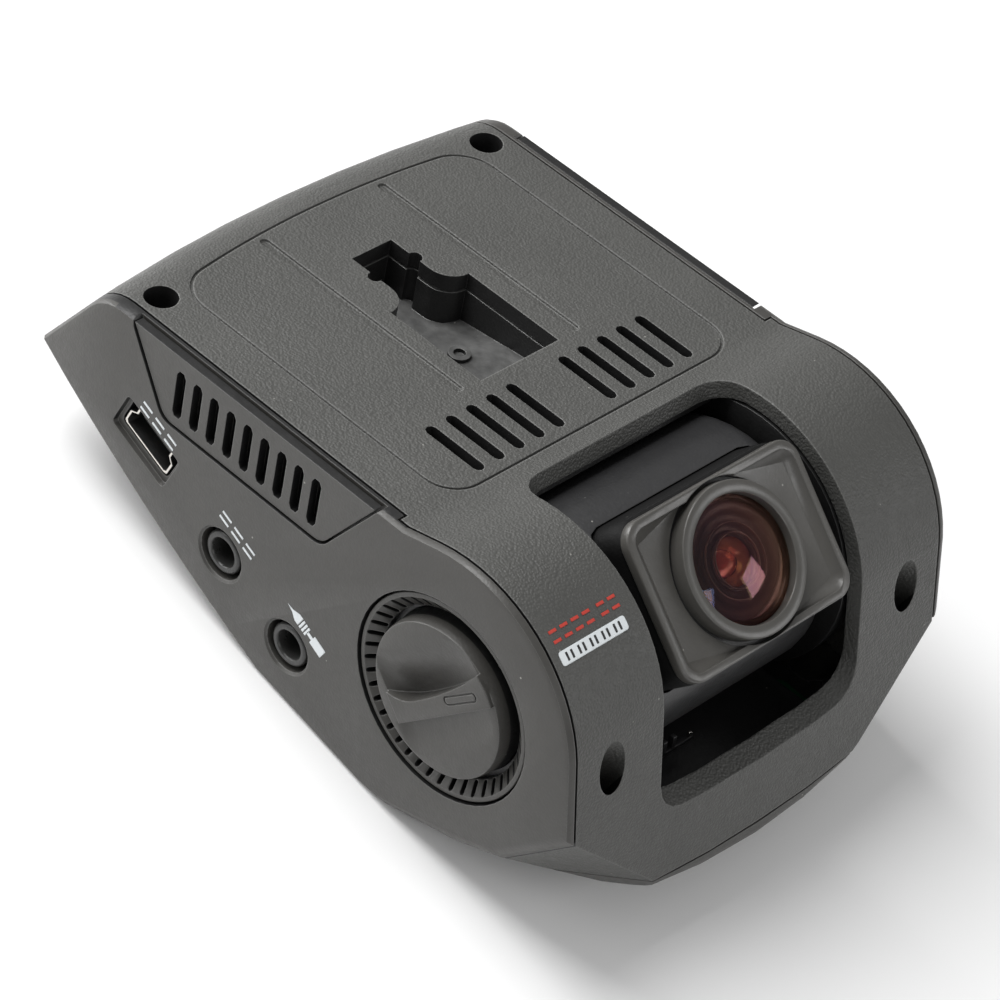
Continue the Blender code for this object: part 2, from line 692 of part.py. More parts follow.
def usb_outline(grow=0.0):
    outline = rounded_box(USB_WIDE / 2 + grow, USB_HIGH / 2 + grow, USB_CORNER, 2)
    return [place_port(point) for point in outline]


def grille_slots(grow=0.0):
    places = [GRILLE_SLOT_REAR_Y - GRILLE_SLOT_PITCH * k for k in range(GRILLE_SLOTS)]
    return [
        slot_outline(y, GRILLE_SLOT_LOW_Z - grow, GRILLE_SLOT_TOP_Z + grow, GRILLE_SLOT_WIDTH + 2 * grow, 3)
        for y in places
    ]


def vent_grille(case, side, name):
    """The insert that fills the cover's upper edge, with its row of upright slots."""
    plate = side_plate(name, case, side, GRILLE_SINK, GRILLE_SINK, COVER - 0.4 * MM - GAP)
    inside, outside = side * (HALF_WIDTH - 5 * MM), side * (HALF_WIDTH + 2 * MM)
    low_x, high_x = min(inside, outside), max(inside, outside)
    keep = add_flat(f"{name}_keep", grille_outline(GAP), low_x, high_x, case, SIDE_VIEW)
    combine(plate, keep, "INTERSECT")
    combine(plate, add_slots(f"{name}_slots", grille_slots(), low_x, high_x, case, SIDE_VIEW))
    return finish_part(plate, "satin_cover")


def lens_unit(lens):
    """Everything that tilts with the drum, drawn with local Z along the line of sight."""
    drum_profile = [(0, DRUM_HALF)] + arc(
        (DRUM_RADIUS - DRUM_ROUND, DRUM_HALF - DRUM_ROUND), DRUM_ROUND, math.pi / 2, 0, 4
    )
    drum_profile += [Vector((radius, -height)) for radius, height in drum_profile[::-1]]
    drum = add_turned("lens_drum", drum_profile, lens, turn=(0, math.pi / 2, 0), steps=40)
    seat = rounded_box(BEZEL_HALF_X + GAP, BEZEL_HALF_Y + GAP, BEZEL_CORNER, 3)
    combine(drum, add_flat("bezel_seat", seat, BEZEL_SEAT, NOSE_RADIUS + 4 * MM, lens))
    combine(drum, add_rod("drum_bore", (0, 0, -4 * MM), (0, 0, 20 * MM), RING_RADIUS + GAP, lens, 40))
    finish_part(drum, "drum_black")
    lens_bezel(lens)
    ring = [
        (RING_RADIUS, BEZEL_FACE + RING_PROUD),
        (RING_RADIUS, BEZEL_FACE - 2.6 * MM),
        (GLASS_RADIUS + 0.15 * MM, BEZEL_FACE - 2.6 * MM),
        (GLASS_RADIUS + 0.15 * MM, BEZEL_FACE + RING_PROUD),
    ]
    finish_part(add_turned("lens_ring", ring, lens), "bezel_grey")
    front_lens(lens)
    barrel_top = BEZEL_FACE - 2.6 * MM - GAP
    barrel = [
        (BARREL_RADIUS, barrel_top),
        (BARREL_RADIUS, BARREL_BACK),
        (BARREL_BORE, BARREL_BACK),
        (BARREL_BORE, barrel_top),
    ]
    finish_part(add_turned("lens_barrel", barrel, lens), "inner_black")
    for name, height, radius in (("middle_lens", 9 * MM, 5.2 * MM), ("rear_lens", 4.5 * MM, 3.6 * MM)):
        cell = BARREL_BORE - GAP
        disc = [(0, height + 1.4 * MM), (radius, height + 0.7 * MM), (cell, height + 0.7 * MM)]
        disc += [(cell, height - 0.5 * MM), (radius, height - 0.5 * MM), (0, height - 1 * MM)]
        finish_part(add_turned(name, disc, lens, steps=32), "coated_glass")
    board_top = BARREL_BACK - 1.6 * MM
    board = rounded_box(6.4 * MM, 5.2 * MM, 1 * MM, 2)
    finish_part(add_flat("sensor_board", board, board_top - 1 * MM, board_top, lens), "board_green")
    chip = rounded_box(3.4 * MM, 2.6 * MM, 0.2 * MM, 1)
    finish_part(add_flat("image_sensor", chip, board_top + GAP, BARREL_BACK - GAP, lens), "chip_black")
    shaft_end = HALF_WIDTH - RING_SINK - RING_THICK - GAP
    finish_part(
        add_rod("knob_shaft", (-DRUM_HALF - GAP, 0, 0), (-shaft_end, 0, 0), AXLE_RADIUS, lens), "inner_black"
    )
    pin_end = DRUM_HALF + 6 * MM
    finish_part(add_rod("pivot_pin", (DRUM_HALF + GAP, 0, 0), (pin_end, 0, 0), AXLE_RADIUS, lens), "steel")


def lens_bezel(lens):
    outline = rounded_box(BEZEL_HALF_X, BEZEL_HALF_Y, BEZEL_CORNER, 5)
    block = add_flat("lens_bezel", outline, BEZEL_SEAT + GAP, BEZEL_FACE, lens)
    rim = rounded_box(BEZEL_HALF_X - BEZEL_RIM, BEZEL_HALF_Y - BEZEL_RIM, BEZEL_CORNER - BEZEL_RIM, 4)
    dish = add_flat("bezel_dish", rim, BEZEL_FACE - BEZEL_DISH, BEZEL_FACE + BEZEL_DISH, lens)
    for vertex in dish.data.vertices:
        if vertex.co.z < BEZEL_FACE:
            vertex.co.x -= math.copysign(BEZEL_SLOPE, vertex.co.x)
            vertex.co.y -= math.copysign(BEZEL_SLOPE, vertex.co.y)
    combine(block, dish)
    bore = RING_RADIUS + GAP
    combine(block, add_rod("bezel_bore", (0, 0, 0), (0, 0, 25 * MM), bore, lens, 40))
    return finish_part(block, "bezel_grey")


def front_lens(lens):
    """A domed element whose edge sits inside the retaining ring."""
    edge = BEZEL_FACE - 0.4 * MM
    radius = (GLASS_RADIUS**2 + GLASS_RISE**2) / (2 * GLASS_RISE)
    half = math.asin((GLASS_RADIUS - 0.15 * MM) / radius)
    dome = arc((0, edge + GLASS_RISE - radius), radius, math.pi / 2, math.pi / 2 - half, 8)
    dome[0].x = 0
    back = BEZEL_FACE - 2.6 * MM
    profile = dome + [Vector((GLASS_RADIUS - 0.15 * MM, back)), Vector((0, back))]
    return finish_part(add_turned("front_lens", profile, lens), "coated_glass")


def knob(lens):
    """The dial ring and the knob, turned about the axle; local Z of each runs out of the port side."""
    out = (0, -math.pi / 2, 0)
    ring_face = HALF_WIDTH - RING_SINK
    ring_edge = KNOB_HOLE - 1.2 * GAP
    ring = [
        (ring_edge, ring_face),
        (ring_edge, ring_face - RING_THICK),
        (KNOB_DISC + GAP, ring_face - RING_THICK),
        (KNOB_DISC + GAP, ring_face),
    ]
    dial = add_turned("knob_ring", ring, lens, turn=out, steps=48)
    middle = (ring_edge + KNOB_DISC + GAP) / 2
    slots = []
    for k in range(RING_SLOTS):
        turn = Matrix.Rotation(2 * math.pi * (k + 0.5) / RING_SLOTS, 2)
        low, high = middle - RING_SLOT_LENGTH / 2, middle + RING_SLOT_LENGTH / 2
        slots.append([turn @ point for point in slot_outline(0, low, high, RING_SLOT_WIDTH, 2)])
    sideways = Matrix.Rotation(-math.pi / 2, 4, "Y")
    low_z, high_z = ring_face - RING_THICK - 1 * MM, ring_face + 1 * MM
    combine(dial, add_slots("ring_slots", slots, low_z, high_z, lens, sideways))
    finish_part(dial, "satin_cover")
    face = HALF_WIDTH + KNOB_FACE
    disc = [(0, face), (KNOB_DISC - 0.5 * MM, face), (KNOB_DISC, face - 0.5 * MM)]
    disc += [(KNOB_DISC, ring_face - RING_THICK), (0, ring_face - RING_THICK)]
    turned = add_turned("adjuster_knob", disc, lens, turn=out, steps=48)
    reach = math.sqrt(KNOB_DISC**2 - (RIDGE_WIDTH / 2) ** 2) - 0.6 * MM
    ridge = rounded_box(RIDGE_WIDTH / 2, reach, 1 * MM, 2)
    lying = Matrix.Rotation(-math.pi / 2, 4, "Y") @ Matrix.Rotation(math.pi / 2, 4, "Z")
    top = HALF_WIDTH + RIDGE_PROUD
    bar = add_flat("knob_ridge", ridge, HALF_WIDTH - 0.6 * MM, top, lens, lying)
    combine(turned, bar, "UNION")
    finish_part(turned, "satin_cover")


def bearings(case):
    """Plates, cradle, washer and detent that carry the drum in the nose."""
    for side, name in ((-1, "left_bearing_plate"), (1, "right_bearing_plate")):
        inner = side * (WINDOW_HALF - 0.2 * MM)
        outer = side * (WINDOW_HALF + 1.5 * MM)
        plate = add_rod(name, (inner, *AXLE), (outer, *AXLE), NOSE_RADIUS - WALL - GAP, case, 48)
        bore = AXLE_RADIUS + AXLE_FIT
        combine(plate, add_rod(f"{name}_bore", (inner - 2 * MM, *AXLE), (outer + 2 * MM, *AXLE), bore, case))
        if side < 0:
            outer -= 2 * MM
        finish_part(plate, "inner_black")
    half = WINDOW_HALF - 0.2 * MM - GAP
    inner_radius = DRUM_RADIUS + 2 * GAP
    first, last = math.pi - WINDOW_TOP - math.radians(4), -math.pi + math.radians(70)
    outline = arc(AXLE, inner_radius, first, last, 20) + arc(AXLE, inner_radius + 0.8 * MM, last, first, 20)
    finish_part(add_flat("drum_cradle", outline, -half, half, case, SIDE_VIEW), "inner_black")
    washer_x = WINDOW_HALF + 1.5 * MM + GAP
    washer_top = washer_x + 0.8 * MM
    washer = [(6 * MM, washer_top), (6 * MM, washer_x), (4 * MM, washer_x), (4 * MM, washer_top)]
    place = (0, *AXLE)
    finish_part(add_turned("friction_washer", washer, case, (0, -math.pi / 2, 0), place, 24), "steel")
    leaf_x = washer_x + 3 * MM
    low_y, high_y = AXLE.x - 7 * MM, AXLE.x + 7 * MM
    leaf = [(low_y, AXLE.y - 6.2 * MM), (high_y, AXLE.y - 6.2 * MM)]
    top = AXLE.y - AXLE_RADIUS - GAP
    leaf += [(high_y, AXLE.y - 5.8 * MM), (AXLE.x + 1.4 * MM, top), (AXLE.x - 1.4 * MM, top)]
    leaf += [(low_y, AXLE.y - 5.8 * MM)]
    leaf_low, leaf_high = -leaf_x - 3 * MM, -leaf_x
    finish_part(add_flat("detent_spring", leaf, leaf_low, leaf_high, case, SIDE_VIEW), "steel")


def closing_screws(case):
    for name, (line, side, sink) in SCREWS.items():
        shank_end = sink + SHANK_LONG
        head_top = sink - GAP - HEAD_HIGH
        head = add_rod(name, line(side, head_top), line(side, sink - GAP), SCREW_HEAD, case, 20)
        shank_top = line(side, sink - 1 * MM)
        shank = add_rod(f"{name}_shank", shank_top, line(side, shank_end), SCREW_SHANK, case, 12)
        combine(head, shank, "UNION")
        for k in (0, 1):
            arm = add_flat(f"{name}_cross_{k}", cross_arm(k), -0.6 * MM, 1 * MM, case)
            arm.matrix_local = Matrix.Translation(line(side, sink - GAP - HEAD_HIGH)) @ line_turn(line, side)
            combine(head, arm)
        finish_part(head, "steel")


def cross_arm(k):
    long, wide = 1 * MM, 0.22 * MM
    half_x, half_y = (long, wide) if k else (wide, long)
    return [(half_x, half_y), (-half_x, half_y), (-half_x, -half_y), (half_x, -half_y)]


def line_turn(line, side):
    """The turn that brings local Z up along a screw's axis."""
    up = line(side, 0) - line(side, 1)
    return Vector((0, 0, 1)).rotation_difference(up).to_matrix().to_4x4()


def mount_pocket(case):
    """The tray behind the bracket's slot, with its floor sloping down towards the rear."""
    top = -WALL - GAP
    block = add_flat("mount_pocket", mount_slot_outline(POCKET_WALL), -WALL - POCKET_DEPTH, top, case)
    floor = -WALL - POCKET_DEPTH + 1 * MM
    hollow = add_flat("pocket_hollow", mount_slot_outline(), floor, top + 1 * MM, case)
    for vertex in hollow.data.vertices:
        if vertex.co.z < top and vertex.co.y < SLOT_STEP_Y - 1 * MM:
            vertex.co.z += POCKET_SLOPE
    combine(block, hollow)
    return finish_part(block, "inner_black")


def screen_parts(screen):
    pane = rounded_box(WINDOW_PANE.x, WINDOW_PANE.y, 2 * MM - GAP, 4, (0, SCREEN_CENTRE_Y))
    pane_back = PANE_FACE + PANE_THICK - GAP / 2
    finish_part(add_flat("screen_window", pane, PANE_FACE, pane_back, screen), "screen_glass")
    panel_low = PANE_FACE + PANE_THICK + GAP
    lcd = rounded_box(LCD_HALF.x, LCD_HALF.y, 1 * MM - GAP, 2, (0, SCREEN_CENTRE_Y))
    finish_part(add_flat("lcd_panel", lcd, panel_low, panel_low + LCD_THICK, screen), "chip_black")
    centre_y = (BOARD_FRONT + BOARD_REAR) / 2
    board = rounded_box(BOARD_HALF_X, (BOARD_REAR - BOARD_FRONT) / 2, 1.5 * MM, 2, (0, centre_y))
    plate = add_flat("main_board", board, BOARD_LOW, BOARD_LOW + BOARD_THICK, screen)
    top = BOARD_LOW + BOARD_THICK
    for name, side in (("left_board_screw", -1), ("right_board_screw", 1)):
        place = Vector((side * (BOARD_HALF_X - 3 * MM), BOARD_REAR - 3 * MM, 0))
        low, high = place + Vector((0, 0, BOARD_LOW - 0.5 * MM)), place + Vector((0, 0, top + 1 * MM))
        combine(plate, add_rod(f"{name}_hole", low, high, 1.2 * MM, screen, 16))
        head_low = place + Vector((0, 0, top + GAP))
        head = add_rod(name, head_low, head_low + Vector((0, 0, 1 * MM)), 1.7 * MM, screen, 16)
        shank = add_rod(f"{name}_shank", low, head_low + Vector((0, 0, 0.5 * MM)), 0.9 * MM, screen, 12)
        combine(head, shank, "UNION")
        finish_part(head, "steel")
    finish_part(plate, "board_green")
    inner_parts = {
        "main_processor": ((-12, -14, 0), (-1, -3, 1.4), "chip_black"),
        "memory_chip": ((2, -13, 0), (10, -6, 1), "chip_black"),
        "flex_connector": ((-5, -17.8, 0), (5, -15.4, 1.6), "inner_black"),
        "backup_cell": ((-9, 0, 0), (11, 11, 4), "cell_wrap"),
        "microphone": ((12, 7, 0), (15.5, 11, 1.5), "socket_metal"),
    }
    for name, (low, high, finish) in inner_parts.items():
        low = Vector(low) * MM + Vector((0, 0, top + GAP))
        high = Vector(high) * MM + Vector((0, 0, top + GAP))
        finish_part(add_box(name, low, high, screen), finish)


def speaker(case):
    """A small round speaker that faces the mounting face's vents."""
    top = -WALL - 2 * GAP
    rim = top - 0.2 * MM
    profile = [(0, top - 0.6 * MM), (3 * MM, top - 1 * MM), (5.4 * MM, rim), (6 * MM, rim)]
    profile += [(6 * MM, top - 2 * MM), (3.4 * MM, top - 3.4 * MM), (0, top - 3.4 * MM)]
    finish_part(add_turned("speaker", profile, case, place=(-15 * MM, 6 * MM, 0), steps=32), "chip_black")


def ports(case):
    outer = -HALF_WIDTH + USB_SINK
    shell = add_flat("usb_shell", usb_outline(), outer, outer + USB_DEPTH, case, SIDE_VIEW)
    deep = outer + USB_DEPTH - 0.8 * MM
    mouth = add_flat("usb_mouth", usb_outline(-USB_SHELL), outer - 1 * MM, deep, case, SIDE_VIEW)
    combine(shell, mouth)
    finish_part(shell, "socket_metal")
    tongue = rounded_box(2.6 * MM, 0.7 * MM, 0.1 * MM, 1, (0, 0.5 * MM))
    tongue = [place_port(point) for point in tongue]
    tongue_end = outer + USB_DEPTH - 0.8 * MM - GAP
    finish_part(add_flat("usb_tongue", tongue, outer + 1 * MM, tongue_end, case, SIDE_VIEW), "inner_black")
    for name, centre in JACKS.items():
        mouth_x = -HALF_WIDTH + USB_SINK
        sleeve = add_rod(name, (mouth_x, *centre), (mouth_x + JACK_DEPTH, *centre), JACK_RADIUS, case, 28)
        deep = mouth_x + JACK_DEPTH - 1 * MM
        bore = add_rod(f"{name}_bore", (mouth_x - 1 * MM, *centre), (deep, *centre), JACK_BORE, case, 24)
        combine(sleeve, bore)
        finish_part(sleeve, "inner_black")


def card_way(name, grow, start, length):
    """The memory card's space, grown on all sides; start is how far inside the cover's face it begins."""
    screen = bpy.data.objects["screen_frame"]
    low_z = card_height()
    outside = HALF_WIDTH - start
    low = (outside - length, CARD_Y - CARD_WIDE / 2 - grow, low_z - grow)
    high = (outside, CARD_Y + CARD_WIDE / 2 + grow, low_z + CARD_THICK + grow)
    return add_box(name, low, high, screen)


def card_height():
    """Low face of the card, over the main board."""
    return BOARD_LOW + BOARD_THICK + GAP + 0.7 * MM


def card_parts(screen):
    floor = BOARD_LOW + BOARD_THICK + GAP
    outside = HALF_WIDTH - COVER - 2 * GAP
    margin = 1.4 * MM
    low = (outside - CARD_LONG, CARD_Y - CARD_WIDE / 2 - margin, floor)
    high = (outside, CARD_Y + CARD_WIDE / 2 + margin, card_height() + CARD_THICK + 0.8 * MM)
    socket = add_box("card_socket", low, high, screen)
    combine(socket, card_way("card_bay", CARD_FIT, -1 * MM, CARD_LONG + 2 * MM - CARD_FIT))
    finish_part(socket, "socket_metal")
    finish_part(card_way("memory_card", 0, 0.3 * MM, CARD_LONG), "chip_black")


def button_parts(keys):
    for name, x in zip(BUTTONS, button_places()):
        outline = rounded_box(BUTTON_HALF.x, BUTTON_HALF.y, 1 * MM, 3, (x, 0))
        finish_part(add_flat(name, outline, BUTTON_SINK, BUTTON_SINK + BUTTON_HIGH, keys), "bezel_grey")
    low = BUTTON_SINK + BUTTON_HIGH + BUTTON_TRAVEL + GAP
    half_x = BUTTON_PITCH * len(BUTTONS) / 2
    board = rounded_box(half_x, 3 * MM, 1 * MM, 2)
    finish_part(add_flat("button_board", board, low, low + 1 * MM, keys), "board_green")


def rest_height():
    """How far the flat of the underside lies below the case frame's origin, once tilted."""
    return BASE_REAR.x * math.sin(REST_TILT) - BASE_REAR.y * math.cos(REST_TILT)


def middle_y():
    """Half way between the tilted case's nose and tail."""
    tail = TAIL + Vector((REAR_BULGE, 0))
    rear = tail.x * math.cos(REST_TILT) + tail.y * math.sin(REST_TILT)
    chin = CHIN_CENTRE.x * math.cos(REST_TILT) + CHIN_CENTRE.y * math.sin(REST_TILT) - CHIN_RADIUS
    return (rear + chin) / 2


def main():
    start_scene()
    make_finishes()
    case = add_empty(
        "case_frame", location=(RIDGE_PROUD / 2, -middle_y(), rest_height()), rotation=(-REST_TILT, 0, 0)
    )
    lens = add_empty("lens_axis", case, (0, *AXLE), (math.pi / 2 - LENS_ELEVATION, 0, 0))
    slope = TAIL - BASE_REAR
    tilt = math.atan2(slope.y, slope.x)
    middle = (TAIL + BASE_REAR) / 2 + Vector((math.sin(tilt), -math.cos(tilt))) * SCREEN_SAG
    screen = add_empty("screen_frame", case, (0, *middle), (tilt, 0, 0))
    chin_floor = CHIN_CENTRE - Vector((0, CHIN_RADIUS))
    chin_slope = (BASE_FRONT.y - chin_floor.y) / (BASE_FRONT.x - chin_floor.x)
    key_z = chin_floor.y + chin_slope * (BUTTON_Y - chin_floor.x)
    keys = add_empty("key_frame", case, (0, BUTTON_Y, key_z), (math.atan(chin_slope), 0, 0))
    reach = HALF_WIDTH - COVER - 3 * GAP
    add_case_solid("boss_limit", case, WALL / 2, -reach, reach)
    reach += GAP / 2
    add_case_solid("way_limit", case, WALL / 2 - GAP, -reach, reach)
    edge = HALF_WIDTH + GAP
    add_flat("under_seam", parting_outline(GAP), -edge, edge, case, SIDE_VIEW)
    top_housing(case)
    bottom_housing(case, screen, keys)
    for side, word in ((-1, "left"), (1, "right")):
        side_cover(case, side, f"{word}_side_cover")
        vent_grille(case, side, f"{word}_vent_grille")
    lens_unit(lens)
    knob(lens)
    bearings(case)
    closing_screws(case)
    mount_pocket(case)
    screen_parts(screen)
    speaker(case)
    ports(case)
    card_parts(screen)
    button_parts(keys)


main()
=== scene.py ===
import json
import math

import bpy
from mathutils import Matrix, Vector

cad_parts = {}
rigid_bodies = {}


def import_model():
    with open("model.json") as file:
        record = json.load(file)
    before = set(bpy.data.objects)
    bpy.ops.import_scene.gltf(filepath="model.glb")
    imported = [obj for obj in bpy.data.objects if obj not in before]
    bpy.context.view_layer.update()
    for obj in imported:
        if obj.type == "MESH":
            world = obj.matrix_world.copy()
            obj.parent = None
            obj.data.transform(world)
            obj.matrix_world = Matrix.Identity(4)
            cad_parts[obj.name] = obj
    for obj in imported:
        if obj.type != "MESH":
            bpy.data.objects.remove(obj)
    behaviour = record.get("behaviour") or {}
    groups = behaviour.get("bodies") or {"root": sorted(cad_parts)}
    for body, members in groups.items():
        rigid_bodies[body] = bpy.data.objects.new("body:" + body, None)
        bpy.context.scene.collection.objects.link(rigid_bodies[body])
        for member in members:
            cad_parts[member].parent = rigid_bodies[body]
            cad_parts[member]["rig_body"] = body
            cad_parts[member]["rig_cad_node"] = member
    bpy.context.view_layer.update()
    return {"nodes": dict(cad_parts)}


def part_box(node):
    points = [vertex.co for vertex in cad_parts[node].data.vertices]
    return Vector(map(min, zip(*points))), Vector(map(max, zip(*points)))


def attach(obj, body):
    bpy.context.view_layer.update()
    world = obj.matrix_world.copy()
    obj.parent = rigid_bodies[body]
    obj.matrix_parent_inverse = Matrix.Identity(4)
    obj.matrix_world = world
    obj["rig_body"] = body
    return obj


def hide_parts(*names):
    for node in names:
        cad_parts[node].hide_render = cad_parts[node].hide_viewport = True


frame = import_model()
mm = 0.001

# the case's own frame: X across, nose to -Y, mounting face at Z 0, laid down on its base by the tilt
caseLie = {"tilt": -12, "x": 0.75, "y": 4.9297, "z": 32.2302}
caseTurn = Matrix.Rotation(math.radians(caseLie["tilt"]), 4, "X")
caseFrame = Matrix.Translation((caseLie["x"] * mm, caseLie["y"] * mm, caseLie["z"] * mm)) @ caseTurn

axle = {"y": -21.64, "z": -16.43, "noseRadius": 18.2, "knobLine": 43.3, "sight": 46.0}
axleFrame = caseFrame @ Matrix.Translation((0, axle["y"] * mm, axle["z"] * mm))
lensFrame = axleFrame @ Matrix.Rotation(math.radians(90 - axle["sight"]), 4, "X")
# stands a side outline up in the case's frame, so that it's raised along X
lieOnX = Matrix(((0, 0, 1, 0), (1, 0, 0, 0), (0, 1, 0, 0), (0, 0, 0, 1)))


def sideFrame(y, z, angle, out=30.0):
    # flat on the port cover: X runs down towards the nose, Z points out
    c, s = math.cos(math.radians(angle)), math.sin(math.radians(angle))
    turn = Matrix(((0, 0, -1, 0), (-c, -s, 0, 0), (-s, c, 0, 0), (0, 0, 0, 1)))
    return caseFrame @ Matrix.Translation((-out * mm, y * mm, z * mm)) @ turn


# modelling helpers


def pickOnly(piece):
    if bpy.context.object and bpy.context.object.mode != "OBJECT":
        bpy.ops.object.mode_set(mode="OBJECT")
    bpy.ops.object.select_all(action="DESELECT")
    piece.select_set(True)
    bpy.context.view_layer.objects.active = piece


def cleanMesh(piece, flat=0.6):
    pickOnly(piece)
    bpy.ops.object.mode_set(mode="EDIT")
    bpy.ops.mesh.select_all(action="SELECT")
    bpy.ops.mesh.remove_doubles(threshold=0.000002)
    bpy.ops.mesh.dissolve_limited(angle_limit=math.radians(flat))
    bpy.ops.mesh.normals_make_consistent(inside=False)
    bpy.ops.object.mode_set(mode="OBJECT")
    return piece


def copyNode(node, name):
    pickOnly(frame["nodes"][node])
    bpy.ops.object.duplicate(linked=False)
    piece = bpy.context.object
    piece.parent = None
    piece.name = name
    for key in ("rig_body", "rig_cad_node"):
        del piece[key]
    piece.data.materials.clear()
    if piece.data.has_custom_normals:
        bpy.ops.mesh.customdata_custom_splitnormals_clear()
    return cleanMesh(piece, 0.05)


def flatPiece(name, points, low, high, place):
    # an outline in mm, raised from low to high, then put in its place
    line = bpy.data.curves.new(name, "CURVE")
    line.dimensions = "2D"
    line.fill_mode = "BOTH"
    line.extrude = (high - low) * mm / 2
    spline = line.splines.new("POLY")
    spline.points.add(len(points) - 1)
    for knot, (x, y) in zip(spline.points, points):
        knot.co = (x * mm, y * mm, 0, 1)
    spline.use_cyclic_u = True
    piece = bpy.data.objects.new(name, line)
    bpy.context.scene.collection.objects.link(piece)
    pickOnly(piece)
    bpy.ops.object.convert(target="MESH")
    piece = cleanMesh(bpy.context.object)
    piece.data.transform(place @ Matrix.Translation((0, 0, (low + high) * mm / 2)))
    return piece


def spunPiece(name, profile, place, steps=64):
    # a closed or axis-to-axis profile of (radius, height) in mm, spun about Z
    line = bpy.data.curves.new(name, "CURVE")
    line.dimensions = "3D"
    spline = line.splines.new("POLY")
    spline.points.add(len(profile) - 1)
    for knot, (radius, height) in zip(spline.points, profile):
        knot.co = (radius * mm, 0, height * mm, 1)
    spline.use_cyclic_u = profile[0][0] > 0
    piece = bpy.data.objects.new(name, line)
    bpy.context.scene.collection.objects.link(piece)
    pickOnly(piece)
    bpy.ops.object.convert(target="MESH")
    piece = bpy.context.object
    bpy.ops.object.mode_set(mode="EDIT")
    bpy.ops.mesh.select_all(action="SELECT")
    bpy.ops.mesh.spin(steps=steps, angle=math.tau, center=(0, 0, 0), axis=(0, 0, 1))
    bpy.ops.object.mode_set(mode="OBJECT")
    cleanMesh(piece, 0.01)
    piece.data.transform(place)
    return piece


def hullPiece(name, layers, place):
    # the tight skin round two or more outlines, each (points, height)
    flats = [flatPiece("layer", points, height, height + 0.001, Matrix()) for points, height in layers]
    piece = joinAll(name, flats)
    bpy.ops.object.mode_set(mode="EDIT")
    bpy.ops.mesh.select_all(action="SELECT")
    bpy.ops.mesh.convex_hull()
    bpy.ops.object.mode_set(mode="OBJECT")
    cleanMesh(piece, 0.5)
    piece.data.transform(place)
    return piece


def darkInside(piece, finish, picks):
    # faces picked by place and direction in the case's frame get a second finish: painted shade on walls that
    # lie in shadow
    toCase = caseFrame.inverted()
    for face in piece.data.polygons:
        if picks(toCase @ face.center / mm, toCase.to_3x3() @ face.normal):
            face.material_index = 1
    piece["darkInside"] = finish.name


def rodPiece(name, radius, low, high, place, steps=48):
    return spunPiece(name, [(0, high), (radius, high), (radius, low), (0, low)], place, steps)


def joinShape(piece, other, way="DIFFERENCE"):
    pickOnly(piece)
    step = piece.modifiers.new("shape", "BOOLEAN")
    step.operation = way
    step.object = other
    bpy.ops.object.modifier_apply(modifier="shape")
    bpy.data.objects.remove(other)
    return piece


def roundEdges(piece, width, segments=3, angle=40):
    pickOnly(piece)
    step = piece.modifiers.new("edge", "BEVEL")
    step.width = width * mm
    step.segments = segments
    step.limit_method = "ANGLE"
    step.angle_limit = math.radians(angle)
    step.harden_normals = False
    bpy.ops.object.modifier_apply(modifier="edge")
    return piece


def joinAll(name, pieces):
    pickOnly(pieces[0])
    for piece in pieces[1:]:
        piece.select_set(True)
    if len(pieces) > 1:
        bpy.ops.object.join()
    joined = bpy.context.object
    joined.name = name
    return joined


def finishPiece(piece, body, finish, nodes=(), smooth=32):
    pickOnly(piece)
    bpy.ops.object.shade_smooth_by_angle(angle=math.radians(smooth))
    dark = [face.index for face in piece.data.polygons if face.material_index == 1]
    piece.data.materials.clear()
    piece.data.materials.append(finish)
    if "darkInside" in piece:
        piece.data.materials.append(bpy.data.materials[piece["darkInside"]])
        del piece["darkInside"]
        for index in dark:
            piece.data.polygons[index].material_index = 1
    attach(piece, body)
    if nodes:
        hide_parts(*nodes)
    return piece


def arcPoints(x, y, radius, first, last, steps=8):
    turns = [math.radians(first + (last - first) * k / steps) for k in range(steps + 1)]
    return [(x + radius * math.cos(a), y + radius * math.sin(a)) for a in turns]


def roundedPoints(halfX, halfY, corner, steps=8, x=0.0, y=0.0):
    points = []
    for k, (sx, sy) in enumerate(((1, 1), (-1, 1), (-1, -1), (1, -1))):
        bendX, bendY = x + sx * (halfX - corner), y + sy * (halfY - corner)
        points += arcPoints(bendX, bendY, corner, 90 * k, 90 * k + 90, steps)
    return points


# finishes


def nodeOf(tree, kind, **values):
    node = tree.nodes.new(kind)
    for key, value in values.items():
        setattr(node, key, value)
    return node


